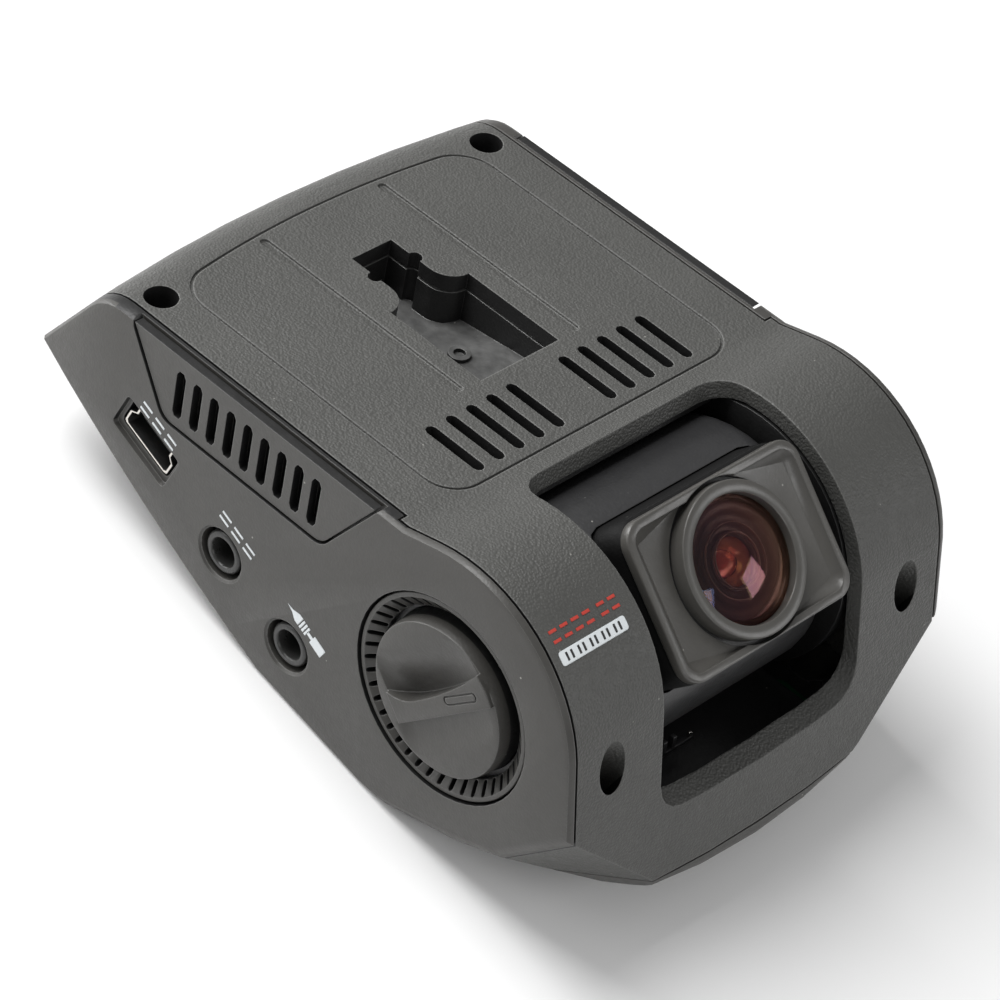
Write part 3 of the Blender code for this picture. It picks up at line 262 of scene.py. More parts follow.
def moulded(name, look):
    # plastic with a moulded grain, uneven gloss, a painted highlight on the grain's pebble tops and along the
    # edges, and a little dust
    finish = bpy.data.materials.new(name)
    finish.use_nodes = True
    tree = finish.node_tree
    shader = tree.nodes["Principled BSDF"]
    link = tree.links.new
    place = nodeOf(tree, "ShaderNodeTexCoord")
    turn = nodeOf(tree, "ShaderNodeMapping")
    turn.inputs["Rotation"].default_value = (math.radians(12), 0, 0)
    link(place.outputs["Object"], turn.inputs["Vector"])

    def noise(scale, detail=3.0, rough=0.5):
        node = nodeOf(tree, "ShaderNodeTexNoise")
        node.inputs["Scale"].default_value = scale
        node.inputs["Detail"].default_value = detail
        node.inputs["Roughness"].default_value = rough
        link(turn.outputs["Vector"], node.inputs["Vector"])
        return node.outputs["Fac"]

    def spread(value, low, high, toLow, toHigh):
        node = nodeOf(tree, "ShaderNodeMapRange")
        for key, number in (("From Min", low), ("From Max", high), ("To Min", toLow), ("To Max", toHigh)):
            node.inputs[key].default_value = number
        link(value, node.inputs["Value"])
        return node.outputs["Result"]

    def mixColor(factor, first, second):
        node = nodeOf(tree, "ShaderNodeMix", data_type="RGBA")
        link(factor, node.inputs["Factor"])
        for socket, colour in ((node.inputs[6], first), (node.inputs[7], second)):
            if isinstance(colour, tuple):
                socket.default_value = (*colour, 1)
            else:
                link(colour, socket)
        return node.outputs[2]

    base = look["color"]
    dull = tuple(c * look.get("vary", 0.86) for c in base)
    tone = mixColor(spread(noise(look.get("cloud", 90), 4), 0.3, 0.7, 0, 1), dull, base)
    # painted highlight: the pebbles of the grain are painted a shade lighter on top
    pebble = nodeOf(tree, "ShaderNodeTexVoronoi", feature="SMOOTH_F1")
    pebble.inputs["Scale"].default_value = look["grain"]
    pebble.inputs["Smoothness"].default_value = 0.6
    link(turn.outputs["Vector"], pebble.inputs["Vector"])
    paintedPebbleLight = spread(pebble.outputs["Distance"], 0.1, 0.75, look.get("paintedPebbleLight", 0.12), 0)
    tone = mixColor(paintedPebbleLight, tone, tuple(min(c * 1.9, 1) for c in base))
    # painted highlight: a light line painted along the edges, where the rounded normal turns from the true
    # one
    roundedNormal = nodeOf(tree, "ShaderNodeBevel", samples=6)
    roundedNormal.inputs["Radius"].default_value = look.get("edge", 0.22) * mm
    shape = nodeOf(tree, "ShaderNodeNewGeometry")
    apart = nodeOf(tree, "ShaderNodeVectorMath", operation="DOT_PRODUCT")
    link(roundedNormal.outputs["Normal"], apart.inputs[0])
    link(shape.outputs["Normal"], apart.inputs[1])
    paintedEdgeHighlight = spread(apart.outputs["Value"], 0.98, 0.86, 0, look.get("paintedEdgeLight", 0.25))
    tone = mixColor(paintedEdgeHighlight, tone, (0.3, 0.3, 0.29))
    # dust specks
    dust = nodeOf(tree, "ShaderNodeTexVoronoi", feature="F1")
    dust.inputs["Scale"].default_value = look.get("dust", 260)
    link(turn.outputs["Vector"], dust.inputs["Vector"])
    speck = spread(dust.outputs["Distance"], 0.035, 0.022, 0, look.get("dusty", 0.5))
    tone = mixColor(speck, tone, (0.55, 0.54, 0.5))
    link(tone, shader.inputs["Base Color"])
    patches = noise(look["grain"] * 0.3, 4)
    link(spread(patches, 0.25, 0.75, look["gloss"] - 0.05, look["gloss"] + 0.07), shader.inputs["Roughness"])
    shader.inputs["Specular IOR Level"].default_value = look.get("specular", 0.5)
    shader.inputs["IOR"].default_value = 1.5
    if look.get("coat"):
        shader.inputs["Coat Weight"].default_value = look["coat"]
        shader.inputs["Coat Roughness"].default_value = look.get("coatRough", 0.2)
    # the bumps of the grain over finer noise
    fine = nodeOf(tree, "ShaderNodeBump")
    fine.inputs["Strength"].default_value = look.get("fineDepth", 0.25)
    fine.inputs["Distance"].default_value = 0.00005
    link(noise(look["grain"] * 2.2, 2), fine.inputs["Height"])
    link(roundedNormal.outputs["Normal"], fine.inputs["Normal"])
    coarse = nodeOf(tree, "ShaderNodeBump", invert=True)
    coarse.inputs["Strength"].default_value = look["depth"]
    coarse.inputs["Distance"].default_value = 0.00022
    link(pebble.outputs["Distance"], coarse.inputs["Height"])
    link(fine.outputs["Normal"], coarse.inputs["Normal"])
    link(coarse.outputs["Normal"], shader.inputs["Normal"])
    return finish


def metalFinish(name, color, rough, brushed=900.0, depth=0.12):
    finish = bpy.data.materials.new(name)
    finish.use_nodes = True
    tree = finish.node_tree
    shader = tree.nodes["Principled BSDF"]
    place = nodeOf(tree, "ShaderNodeTexCoord")
    turn = nodeOf(tree, "ShaderNodeMapping")
    turn.inputs["Scale"].default_value = (1, 1, 0.15)
    grain = nodeOf(tree, "ShaderNodeTexNoise")
    grain.inputs["Scale"].default_value = brushed
    grain.inputs["Detail"].default_value = 4
    tree.links.new(place.outputs["Object"], turn.inputs["Vector"])
    tree.links.new(turn.outputs["Vector"], grain.inputs["Vector"])
    ramp = nodeOf(tree, "ShaderNodeMapRange")
    ramp.inputs["To Min"].default_value = max(rough - 0.1, 0.02)
    ramp.inputs["To Max"].default_value = rough + 0.15
    tree.links.new(grain.outputs["Fac"], ramp.inputs["Value"])
    tree.links.new(ramp.outputs["Result"], shader.inputs["Roughness"])
    tint = nodeOf(tree, "ShaderNodeMix", data_type="RGBA")
    tint.inputs[6].default_value = (*[c * 0.75 for c in color], 1)
    tint.inputs[7].default_value = (*color, 1)
    tree.links.new(grain.outputs["Fac"], tint.inputs["Factor"])
    tree.links.new(tint.outputs[2], shader.inputs["Base Color"])
    shader.inputs["Metallic"].default_value = 1
    bump = nodeOf(tree, "ShaderNodeBump")
    bump.inputs["Strength"].default_value = depth
    bump.inputs["Distance"].default_value = 0.00004
    tree.links.new(grain.outputs["Fac"], bump.inputs["Height"])
    tree.links.new(bump.outputs["Normal"], shader.inputs["Normal"])
    return finish


def coatedGlass(name, tint, film, clear=1.0, rough=0.01):
    # clear element with a coating whose reflections are tinted, and faint cleaning marks
    finish = bpy.data.materials.new(name)
    finish.use_nodes = True
    tree = finish.node_tree
    shader = tree.nodes["Principled BSDF"]
    shader.inputs["Base Color"].default_value = (*tint, 1)
    shader.inputs["Transmission Weight"].default_value = clear
    shader.inputs["IOR"].default_value = 1.52
    shader.inputs["Specular Tint"].default_value = (1.0, 0.72, 0.6, 1)
    shader.inputs["Thin Film Thickness"].default_value = film
    shader.inputs["Thin Film IOR"].default_value = 1.38
    place = nodeOf(tree, "ShaderNodeTexCoord")
    turn = nodeOf(tree, "ShaderNodeMapping")
    smear = nodeOf(tree, "ShaderNodeTexNoise")
    smear.inputs["Scale"].default_value = 160
    smear.inputs["Detail"].default_value = 5
    tree.links.new(place.outputs["Object"], turn.inputs["Vector"])
    tree.links.new(turn.outputs["Vector"], smear.inputs["Vector"])
    ramp = nodeOf(tree, "ShaderNodeMapRange")
    ramp.inputs["To Min"].default_value = rough
    ramp.inputs["To Max"].default_value = rough + 0.03
    tree.links.new(smear.outputs["Fac"], ramp.inputs["Value"])
    tree.links.new(ramp.outputs["Result"], shader.inputs["Roughness"])
    return finish


def ringedBlack(name, rings, color, paintedRingHighlight):
    # blackened barrel: fine turned rings about the line of sight, each ring with a painted highlight in a
    # lighter brown
    finish = bpy.data.materials.new(name)
    finish.use_nodes = True
    tree = finish.node_tree
    shader = tree.nodes["Principled BSDF"]
    centre = lensFrame.inverted()
    place = nodeOf(tree, "ShaderNodeTexCoord")
    move = nodeOf(tree, "ShaderNodeMapping")
    move.inputs["Location"].default_value = centre.translation
    move.inputs["Rotation"].default_value = centre.to_euler()
    tree.links.new(place.outputs["Object"], move.inputs["Vector"])
    wave = nodeOf(tree, "ShaderNodeTexWave", wave_type="RINGS", rings_direction="Z")
    wave.inputs["Scale"].default_value = rings
    wave.inputs["Distortion"].default_value = 0
    tree.links.new(move.outputs["Vector"], wave.inputs["Vector"])
    tint = nodeOf(tree, "ShaderNodeMix", data_type="RGBA")
    tint.inputs[6].default_value = (*color, 1)
    tint.inputs[7].default_value = (*paintedRingHighlight, 1)
    tree.links.new(wave.outputs["Fac"], tint.inputs["Factor"])
    tree.links.new(tint.outputs[2], shader.inputs["Base Color"])
    shader.inputs["Roughness"].default_value = 0.35
    bump = nodeOf(tree, "ShaderNodeBump")
    bump.inputs["Strength"].default_value = 0.5
    bump.inputs["Distance"].default_value = 0.0001
    tree.links.new(wave.outputs["Fac"], bump.inputs["Height"])
    tree.links.new(bump.outputs["Normal"], shader.inputs["Normal"])
    return finish


textured = {
    "color": (0.066, 0.066, 0.062), "gloss": 0.46, "grain": 3500, "depth": 0.45,
    "paintedPebbleLight": 0.17, "dusty": 0.35, "edge": 0.3, "fineDepth": 0.35, "paintedEdgeLight": 0.4,
}
satin = {
    "color": (0.0525, 0.0505, 0.0465), "gloss": 0.4, "grain": 3200, "depth": 0.08,
    "paintedPebbleLight": 0.05, "edge": 0.2, "fineDepth": 0.15, "paintedEdgeLight": 0.35,
}
pale = {
    "color": (0.075, 0.072, 0.066), "gloss": 0.33, "grain": 3000, "depth": 0.04,
    "paintedPebbleLight": 0.03, "edge": 0.18, "fineDepth": 0.08, "coat": 0.15,
}
black = {
    "color": (0.02, 0.02, 0.02), "gloss": 0.4, "grain": 2600, "depth": 0.1,
    "paintedPebbleLight": 0.05, "edge": 0.15, "paintedEdgeLight": 0.08,
}
polished = {**black, "gloss": 0.15, "coat": 1.0, "coatRough": 0.05}
printed = {**black, "gloss": 0.5, "vary": 0.95, "paintedEdgeLight": 0.0}
leatherGrain = moulded("leatherGrain", textured)
satinCover = moulded("satinCover", satin)
paleBezel = moulded("paleBezel", pale)
drumBlack = moulded("drumBlack", {**black, "color": (0.03, 0.03, 0.031), "gloss": 0.33})
# near-black: the colour of black parts, and painted shade on walls, wells and floors in shadow
innerBlack = moulded("innerBlack", {**black, "color": (0.012, 0.012, 0.012), "dusty": 0.1})
boardGreen = moulded("boardGreen", {**black, "color": (0.02, 0.13, 0.05), "gloss": 0.3, "coat": 0.4})
chipBlack = moulded("chipBlack", {**black, "gloss": 0.5})
cellWrap = moulded("cellWrap", {**black, "color": (0.42, 0.42, 0.45), "gloss": 0.3})
flatGlass = {"color": (0.006, 0.006, 0.008), "gloss": 0.08, "depth": 0.0, "fineDepth": 0.0}
screenGlass = moulded("screenGlass", {**black, **flatGlass, "coat": 1.0, "coatRough": 0.03})
socketMetal = metalFinish("socketMetal", (0.78, 0.75, 0.7), 0.2)
darkSteel = metalFinish("darkSteel", (0.2, 0.2, 0.21), 0.4)
goldPin = metalFinish("goldPin", (0.9, 0.5, 0.14), 0.2)
frontGlass = coatedGlass("frontGlass", (0.62, 0.47, 0.43), 330)
innerGlass = coatedGlass("innerGlass", (0.95, 0.7, 0.62), 480)
barrelBlack = ringedBlack("barrelBlack", 260, (0.02, 0.012, 0.011), (0.05, 0.03, 0.026))
# painted reflection: the inner elements are coloured bright red and warm brown, with painted highlights on
# the pebbles, for the coloured glint off coated glass
paintedRedReflection = {"color": (0.6, 0.13, 0.12), "grain": 900, "depth": 0.2, "paintedPebbleLight": 0.5}
paintedWarmReflection = {"color": (0.55, 0.3, 0.2), "grain": 700, "depth": 0.3, "paintedPebbleLight": 0.4}
irisRed = moulded("irisRed", {**polished, **paintedRedReflection})
rimGrey = moulded("rimGrey", {**black, "color": (0.3, 0.22, 0.2), "gloss": 0.15, "coat": 1.0, "dusty": 0.0})
irisWarm = moulded("irisWarm", {**polished, **paintedWarmReflection})
printWhite = moulded("printWhite", {**printed, "color": (0.72, 0.76, 0.78)})
printRed = moulded("printRed", {**printed, "color": (0.5, 0.045, 0.03)})
print("finishes ready")


# mounting face, nose and rear: one textured shell

panel = {"half": 22.4, "front": -12.1, "rear": 30.2, "bow": 2.0, "corner": 4.2, "line": 0.34, "sink": 0.3}
guide = {"x": 9.0, "front": -0.2, "rear": 30.9, "width": 1.15, "sink": 0.35}
slotShape = {
    "wide": 6.0, "narrow": 3.0, "front": -0.2, "step": 13.6, "rear": 22.8,
    "round": 3.0, "dent": 0.85, "dentX": 3.05, "dentY": 19.05,
}


def panelPoints(inset):
    half, corner = panel["half"] - inset, panel["corner"] - inset
    long = (panel["rear"] - panel["front"]) / 2 - inset
    points = roundedPoints(half, long, corner, 8, 0, (panel["rear"] + panel["front"]) / 2)
    points = points[9:] + points[:9]  # left rear corner first, so the rear edge closes it
    rear = [((half - corner) * (1 - 2 * k / 12), panel["rear"] - inset) for k in range(1, 12)]
    bowed = []
    for x, y in points + rear:
        share = max(0.0, min((y - 20) / 10, 1))
        bowed.append((x, y + panel["bow"] * share * (1 - (x / half) ** 2)))
    return bowed


def slotPoints(grow=0.0):
    wide, narrow = slotShape["wide"] + grow, slotShape["narrow"] + grow
    front, step, rear = slotShape["front"] - grow, slotShape["step"] + grow, slotShape["rear"] + grow
    bend = slotShape["round"] - grow
    right = [(wide, front), (wide, step)]
    right += arcPoints(slotShape["wide"], slotShape["step"] + slotShape["round"], bend, 270, 180, 8)
    right += [(narrow, rear)]
    return right + [(-x, y) for x, y in reversed(right)]


def dentRod(side, low, high, radius):
    place = caseFrame @ Matrix.Translation((side * slotShape["dentX"] * mm, slotShape["dentY"] * mm, 0))
    return rodPiece("dent", radius, low, high, place, 24)


topShell = copyNode("top_housing", "topShell")
lineCut = flatPiece("lineCut", panelPoints(0), -panel["sink"], 0.6, caseFrame)
joinShape(lineCut, flatPiece("lineKeep", panelPoints(panel["line"]), -1.5, 1.5, caseFrame))
joinShape(topShell, lineCut)
for side in (-1, 1):
    middle = (guide["front"] + guide["rear"]) / 2
    half = (guide["rear"] - guide["front"]) / 2
    points = roundedPoints(guide["width"] / 2, half, guide["width"] / 2 - 0.001, 6, side * guide["x"], middle)
    joinShape(topShell, flatPiece("guideCut", points, -guide["sink"], 0.6, caseFrame))
joinShape(topShell, flatPiece("slotCut", slotPoints(0.005), -3.4, 1, caseFrame))
for side in (-1, 1):
    joinShape(topShell, dentRod(side, -3.4, 1, slotShape["dent"]))
screwPlaces = []
for word in ("rear_left", "rear_right", "front_left", "front_right"):
    low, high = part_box(f"{word}_screw")
    screwPlaces.append(caseFrame.inverted() @ ((Vector(low) + Vector(high)) / 2) / mm)


# painted shade: vent and slot walls, the sides under the covers and the screw wells get the near-black finish
def shellPicks(at, facing):
    wall = abs(facing.z) < 0.6 and -8 < at.z < -0.32
    vents = wall and -11.2 < at.y < -1 and abs(at.x) < 22
    slot = wall and -1 < at.y < 23.5 and abs(at.x) < 7.5
    sides = abs(facing.x) > 0.98 and abs(at.x) > 27
    wells = any((at - place).length < 6.2 and facing.dot(at - place) < -0.6 for place in screwPlaces)
    return vents or slot or sides or wells


darkInside(topShell, innerBlack, shellPicks)
finishPiece(topShell, "case", leatherGrain, ["top_housing"], 28)

tray = flatPiece("slotTray", slotPoints(1.1), -7.6, -2.3, caseFrame)
trayHollow = flatPiece("trayHollow", slotPoints(0), -6.6, -1.8, caseFrame)
joinShape(tray, trayHollow)
for side in (-1, 1):
    joinShape(tray, dentRod(side, -6.6, -1.8, slotShape["dent"]))
rampSide = [(-1.2, -6.9), (14.2, -6.9), (14.2, -6.55), (-1.2, -4.6)]
ramp = flatPiece("trayRamp", rampSide, -6.4, 6.4, caseFrame @ lieOnX)
joinShape(tray, ramp, "UNION")
stud = {"x": 0.6, "y": 8.5, "outer": 1.3, "inner": 0.7}
studAt = caseFrame @ Matrix.Translation((stud["x"] * mm, stud["y"] * mm, 0))
joinShape(tray, rodPiece("stud", stud["outer"], -6.8, -5.2, studAt, 24), "UNION")
joinShape(tray, rodPiece("studHole", stud["inner"], -5.7, -4.9, studAt, 24))
# painted shade on the tray's walls
darkInside(tray, innerBlack, lambda at, facing: abs(facing.z) < 0.6)
# painted highlight: the tray is painted a lighter grey with a strong mottle for its lit, glossy floor
coarse = {"gloss": 0.22, "grain": 800, "depth": 0.9, "fineDepth": 0.9, "vary": 0.5, "cloud": 400}
trayPlastic = moulded("trayPlastic", {**satin, **coarse, "color": (0.13, 0.13, 0.128)})
finishPiece(tray, "case", trayPlastic, ["mount_pocket"])
print("top shell ready")


# side covers and grilles

port = {"y": 24.0, "z": -13.7, "tilt": 22, "out": 30.0}
recess = {"halfX": 4.55, "halfY": 2.6, "x": -0.1, "y": -0.45, "deep": 0.62, "flare": 0.3}
jackHoles = ((11.26, -20.8), (-0.03, -25.74))

leftCover = copyNode("left_side_cover", "leftCover")
usbFrame = sideFrame(port["y"], port["z"], port["tilt"], 0)
recessPoints = roundedPoints(recess["halfX"], recess["halfY"], 0.6, 4, recess["x"], recess["y"])
recessCut = flatPiece("recessCut", recessPoints, port["out"] - recess["deep"], port["out"] + 1, Matrix())
for vertex in recessCut.data.vertices:
    if vertex.co.z > 0.0305:
        vertex.co.x += math.copysign(recess["flare"] * mm, vertex.co.x - recess["x"] * mm)
        vertex.co.y += math.copysign(recess["flare"] * mm, vertex.co.y - recess["y"] * mm)
recessCut.data.transform(usbFrame)
joinShape(leftCover, recessCut)
for y, z in jackHoles:
    flare = [(0, 30.6), (3.95, 30.6), (3.2, 29.75), (0, 29.75)]
    joinShape(leftCover, spunPiece("jackFlare", flare, sideFrame(y, z, 0, 0), 48))
axleAt = Vector((axle["y"], axle["z"]))


# painted shade: the walls of the knob's hole and of the grille seat get the near-black finish
def coverPicks(at, facing):
    wall = abs(facing.x) < 0.4
    knobHole = abs((at.yz - axleAt).length - 12.15) < 0.3
    grilleSeat = at.y > -9 and at.z > -14.5 and abs(at.x) > 27.9
    return wall and (knobHole or grilleSeat)


darkInside(leftCover, innerBlack, coverPicks)
finishPiece(leftCover, "case", satinCover, ["left_side_cover"])
rightCover = copyNode("right_side_cover", "rightCover")
finishPiece(rightCover, "case", satinCover, ["right_side_cover"])
for word in ("left", "right"):
    grille = copyNode(f"{word}_vent_grille", f"{word}Grille")
    # painted shade on the grille's slot walls
    darkInside(grille, innerBlack, lambda at, facing: abs(facing.x) < 0.5)
    finishPiece(grille, "case", satinCover, [f"{word}_vent_grille"])
print("covers ready")


# sockets

usb = {
    "half": 3.85, "high": 1.95, "wall": 0.28, "mouth": 29.45, "deep": 21.0,
    "pins": 5, "pitch": 0.8, "sunk": 1.25, "tabs": 6, "tabPitch": 0.78,
}


def usbPoints(inset):
    h, v = usb["half"] - inset, usb["high"] - inset
    right = [(h - 0.3, -v), (h, -v + 0.3), (h, 0.1), (h - 0.75, 0.75), (h - 0.75, v - 0.25), (h - 1.0, v)]
    return right + [(-x, y) for x, y in reversed(right)]


usbShell = flatPiece("usbShell", usbPoints(0), usb["deep"], usb["mouth"], usbFrame)
usbBore = flatPiece("usbBore", usbPoints(usb["wall"]), usb["deep"] + 0.8, usb["mouth"] + 1, usbFrame)
joinShape(usbShell, usbBore)
roundEdges(usbShell, 0.06, 2, 50)


def shellInside(at, facing):
    # painted shade on all but the bright rim at the mouth
    return at.x > -29.3 or (at.x > -29.38 and abs(facing.x) < 0.3)


darkInside(usbShell, innerBlack, shellInside)
finishPiece(usbShell, "case", socketMetal, ["usb_shell"])
tonguePoints = roundedPoints(2.55, 0.62, 0.12, 3, 0, 0.55)
usbTongue = flatPiece("usbTongue", tonguePoints, 22.2, usb["mouth"] - 0.9, usbFrame)
roundEdges(usbTongue, 0.08, 2, 50)
finishPiece(usbTongue, "case", innerBlack, ["usb_tongue"])
pins = []
for k in range(usb["pins"]):
    x = (k - (usb["pins"] - 1) / 2) * usb["pitch"]
    pinPoints = roundedPoints(0.15, 0.12, 0.05, 2, x, -0.3)
    pins.append(flatPiece("pin", pinPoints, 23.0, usb["mouth"] - usb["sunk"], usbFrame))
finishPiece(joinAll("usbPins", pins), "case", goldPin)
tabs = []
for k in range(usb["tabs"]):
    x = (k - (usb["tabs"] - 1) / 2) * usb["tabPitch"]
    tabPoints = roundedPoints(0.2, 0.13, 0.05, 2, x, 1.42 - 0.14 * (k % 2))
    tabs.append(flatPiece("tab", tabPoints, 27.5, usb["mouth"] - 0.35, usbFrame))
finishPiece(joinAll("usbTabs", tabs), "case", socketMetal)
jack = {"ring": 2.62, "bore": 1.72, "mouth": 29.6, "lip": 0.45, "soft": 0.25, "deep": 19.8}
lip, sleeveSide = jack["lip"], []
for angle in [math.radians(15 * k) for k in range(7)]:
    out = jack["ring"] - lip + lip * math.sin(angle)
    sleeveSide.append((out, jack["mouth"] - lip + lip * math.cos(angle)))
sleeveSide += [(jack["ring"], jack["deep"]), (jack["bore"], jack["deep"])]
for angle in [math.radians(15 * k) for k in range(6)]:
    out = jack["bore"] + jack["soft"] - jack["soft"] * math.cos(angle)
    sleeveSide.append((out, jack["mouth"] - lip + lip * math.sin(angle)))
for name, (y, z) in zip(("gps_jack", "av_jack"), jackHoles):
    sleeve = spunPiece(name + "Sleeve", sleeveSide, sideFrame(y, z, 0, 0), 48)
    sleevePlastic = moulded(name + "Plastic", {**black, "color": (0.035, 0.035, 0.034), "gloss": 0.3})
    finishPiece(sleeve, "case", sleevePlastic, [name])
    # painted shade: a near-black floor deep in each jack's bore
    low, high = jack["deep"] + 0.3, jack["deep"] + 0.9
    bottom = rodPiece(name + "Floor", jack["bore"] + 0.02, low, high, sideFrame(y, z, 0, 0), 32)
    finishPiece(bottom, "case", innerBlack)
print("sockets ready")


# printed marks, plain shapes only


def barPoints(x, y, halfX, halfY, corner=0.1):
    return roundedPoints(halfX, halfY, corner, 2, x, y)


def printMark(name, outlines, place, finish):
    bars = [flatPiece("bar", points, 0.0, 0.03, place) for points in outlines]
    return finishPiece(joinAll(name, bars), "case", finish)


def pairBars(x, y, reach, apart, line, upright):
    # two short bars side by side, so that a row of pairs spells nothing
    pair = []
    for sign in (-1, 1):
        if upright:
            pair.append(barPoints(x + sign * apart, y, line, reach, 0.04))
        else:
            pair.append(barPoints(x, y + sign * apart, reach, line, 0.04))
    return pair


portMarks = {
    "usbMark": {"at": (22.75, -10.95, 22.8), "pitch": 2.2, "y": 0.25, "apart": 0.5},
    "pinMark": {"at": (9.2, -16.5, 24), "pitch": 2.15, "y": 0, "apart": 0.45},
}
for name, mark in portMarks.items():
    outlines = []
    for k in (-1, 0, 1):
        outlines += pairBars(k * mark["pitch"], mark["y"], 0.8, mark["apart"], 0.16, False)
    printMark(name, outlines, sideFrame(*mark["at"]), printWhite)
# a plug seen from the side: tip, collars, neck and grip
half, edge = 0.72, 0.18
tip = [(-3.3, 0.0), (-2.4, -edge), (-1.5, -half), (-0.9, -half), (-0.9, half), (-1.5, half), (-2.4, edge)]
plugMark = [tip] + [barPoints(x, 0, 0.15, half, 0.04) for x in (-0.6, -0.15, 0.3)]
plugMark += [barPoints(0.85, 0, 0.45, 0.25, 0.05), barPoints(2.3, 0, 1.0, half, 0.08)]
printMark("plugMark", plugMark, sideFrame(-2.3, -21.4, 27), printWhite)


def wrapMark(name, outlines, lift, finish):
    # outlines in mm: across, and up round the nose in degrees from straight ahead
    bars = []
    for points in outlines:
        bar = flatPiece("bar", points, 0, 0.03, Matrix())
        pickOnly(bar)
        bpy.ops.object.mode_set(mode="EDIT")
        bpy.ops.mesh.select_all(action="SELECT")
        bpy.ops.mesh.quads_convert_to_tris()
        bpy.ops.mesh.subdivide(number_cuts=2)
        bpy.ops.object.mode_set(mode="OBJECT")
        for vertex in bar.data.vertices:
            angle = vertex.co.y / mm / axle["noseRadius"]
            out = (axle["noseRadius"] + lift) * mm + vertex.co.z
            vertex.co = (vertex.co.x, -out * math.cos(angle), out * math.sin(angle))
        bar.data.transform(axleFrame)
        bars.append(bar)
    return finishPiece(joinAll(name, bars), "case", finish)


badge = {"x": -22.85, "up": 48.3, "half": 4.85, "high": 0.78, "rowUp": 55.8}
arcMm = math.radians(1) * axle["noseRadius"]
pill = roundedPoints(badge["half"], badge["high"], 0.35, 5, badge["x"], badge["up"] * arcMm)
wrapMark("badgePill", [pill], -0.005, printWhite)
pillBars = []
for k in range(5):
    pillBars += pairBars(badge["x"] + (k - 2) * 1.75, badge["up"] * arcMm, 0.46, 0.36, 0.14, True)
wrapMark("badgeBars", pillBars, 0.02, innerBlack)
rowBars = []
for k in range(6):
    x = badge["x"] - 4.1 + k * 1.62 + (0.5 if k > 3 else 0)
    rowBars += pairBars(x, badge["rowUp"] * arcMm, 0.55, 0.55, 0.18, False)
wrapMark("badgeRow", rowBars, -0.005, printRed)
print("marks ready")


# painted shade: a black tray in the nose, under the drum, blacks out the cavity; the bar and posts on it are
# modelled parts

nest = {
    "half": 15.9, "front": -41.6, "rear": -27.0, "low": -32.3, "top": -31.5,
    "barY": -34.0, "barZ": -28.6, "ledge": 0.4, "slant": 1.2,
}
nestSide = [
    (nest["front"], nest["low"]), (nest["rear"], nest["low"]), (nest["rear"], nest["top"] + nest["ledge"]),
    (nest["rear"] - nest["slant"], nest["top"]), (nest["front"], nest["top"]),
]
paintedShadeTray = flatPiece("noseTray", nestSide, -nest["half"], nest["half"], caseFrame @ lieOnX)
roundEdges(paintedShadeTray, 0.2, 2, 30)
barAt = caseFrame @ Matrix.Translation((0, nest["barY"] * mm, nest["barZ"] * mm)) @ lieOnX
bars = [flatPiece("bar", roundedPoints(0.35, 0.28, 0.08, 3), -15.6, -1.4, barAt)]
for x in (-6.4, -4.9):
    bars.append(flatPiece("post", roundedPoints(0.3, 0.9, 0.08, 3, 0, 1.0), x, x + 0.55, barAt))
finishPiece(joinAll("noseBar", [paintedShadeTray] + bars), "case", drumBlack)
clip = flatPiece("noseClip", roundedPoints(0.16, 0.42, 0.08, 3, -0.1, 0.6), -2.1, -1.75, barAt)
finishPiece(clip, "case", socketMetal)


# knob and its dial

knobLine = math.radians(axle["knobLine"])
c, s = math.cos(knobLine), math.sin(knobLine)
knobFrame = axleFrame @ Matrix(((0, 0, -1, 0), (-c, s, 0, 0), (s, c, 0, 0), (0, 0, 0, 1)))
knobShape = {"radius": 9.0, "face": 30.6, "ridge": 31.0, "taper": 0.3, "foot": 27.6}
scoopShape = {"first": -7.15, "last": 8.3, "wide": 6.0, "deep": 2.1, "at": -3.4}
dipShape = {"first": -7.6, "last": 7.6, "wide": 4.5, "deep": 0.5, "at": -5.5}
ridgeEnd = {"tip": (8.62, 2.3), "out": (8.9, 0.5), "far": 8.75, "near": -7.0}
dialShape = {
    "outer": 11.9, "rim": 11.35, "inner": 9.85, "top": 29.75, "low": 28.4, "foot": 27.6,
    "slots": 42, "slotAt": 10.6, "slotHalf": 0.72, "slotWide": 0.3,
}


def scoopEdge(u):
    pull = 0.115 if u < -3.5 else 0.0121
    return 0.45 + pull * (u + 3.5) ** 2


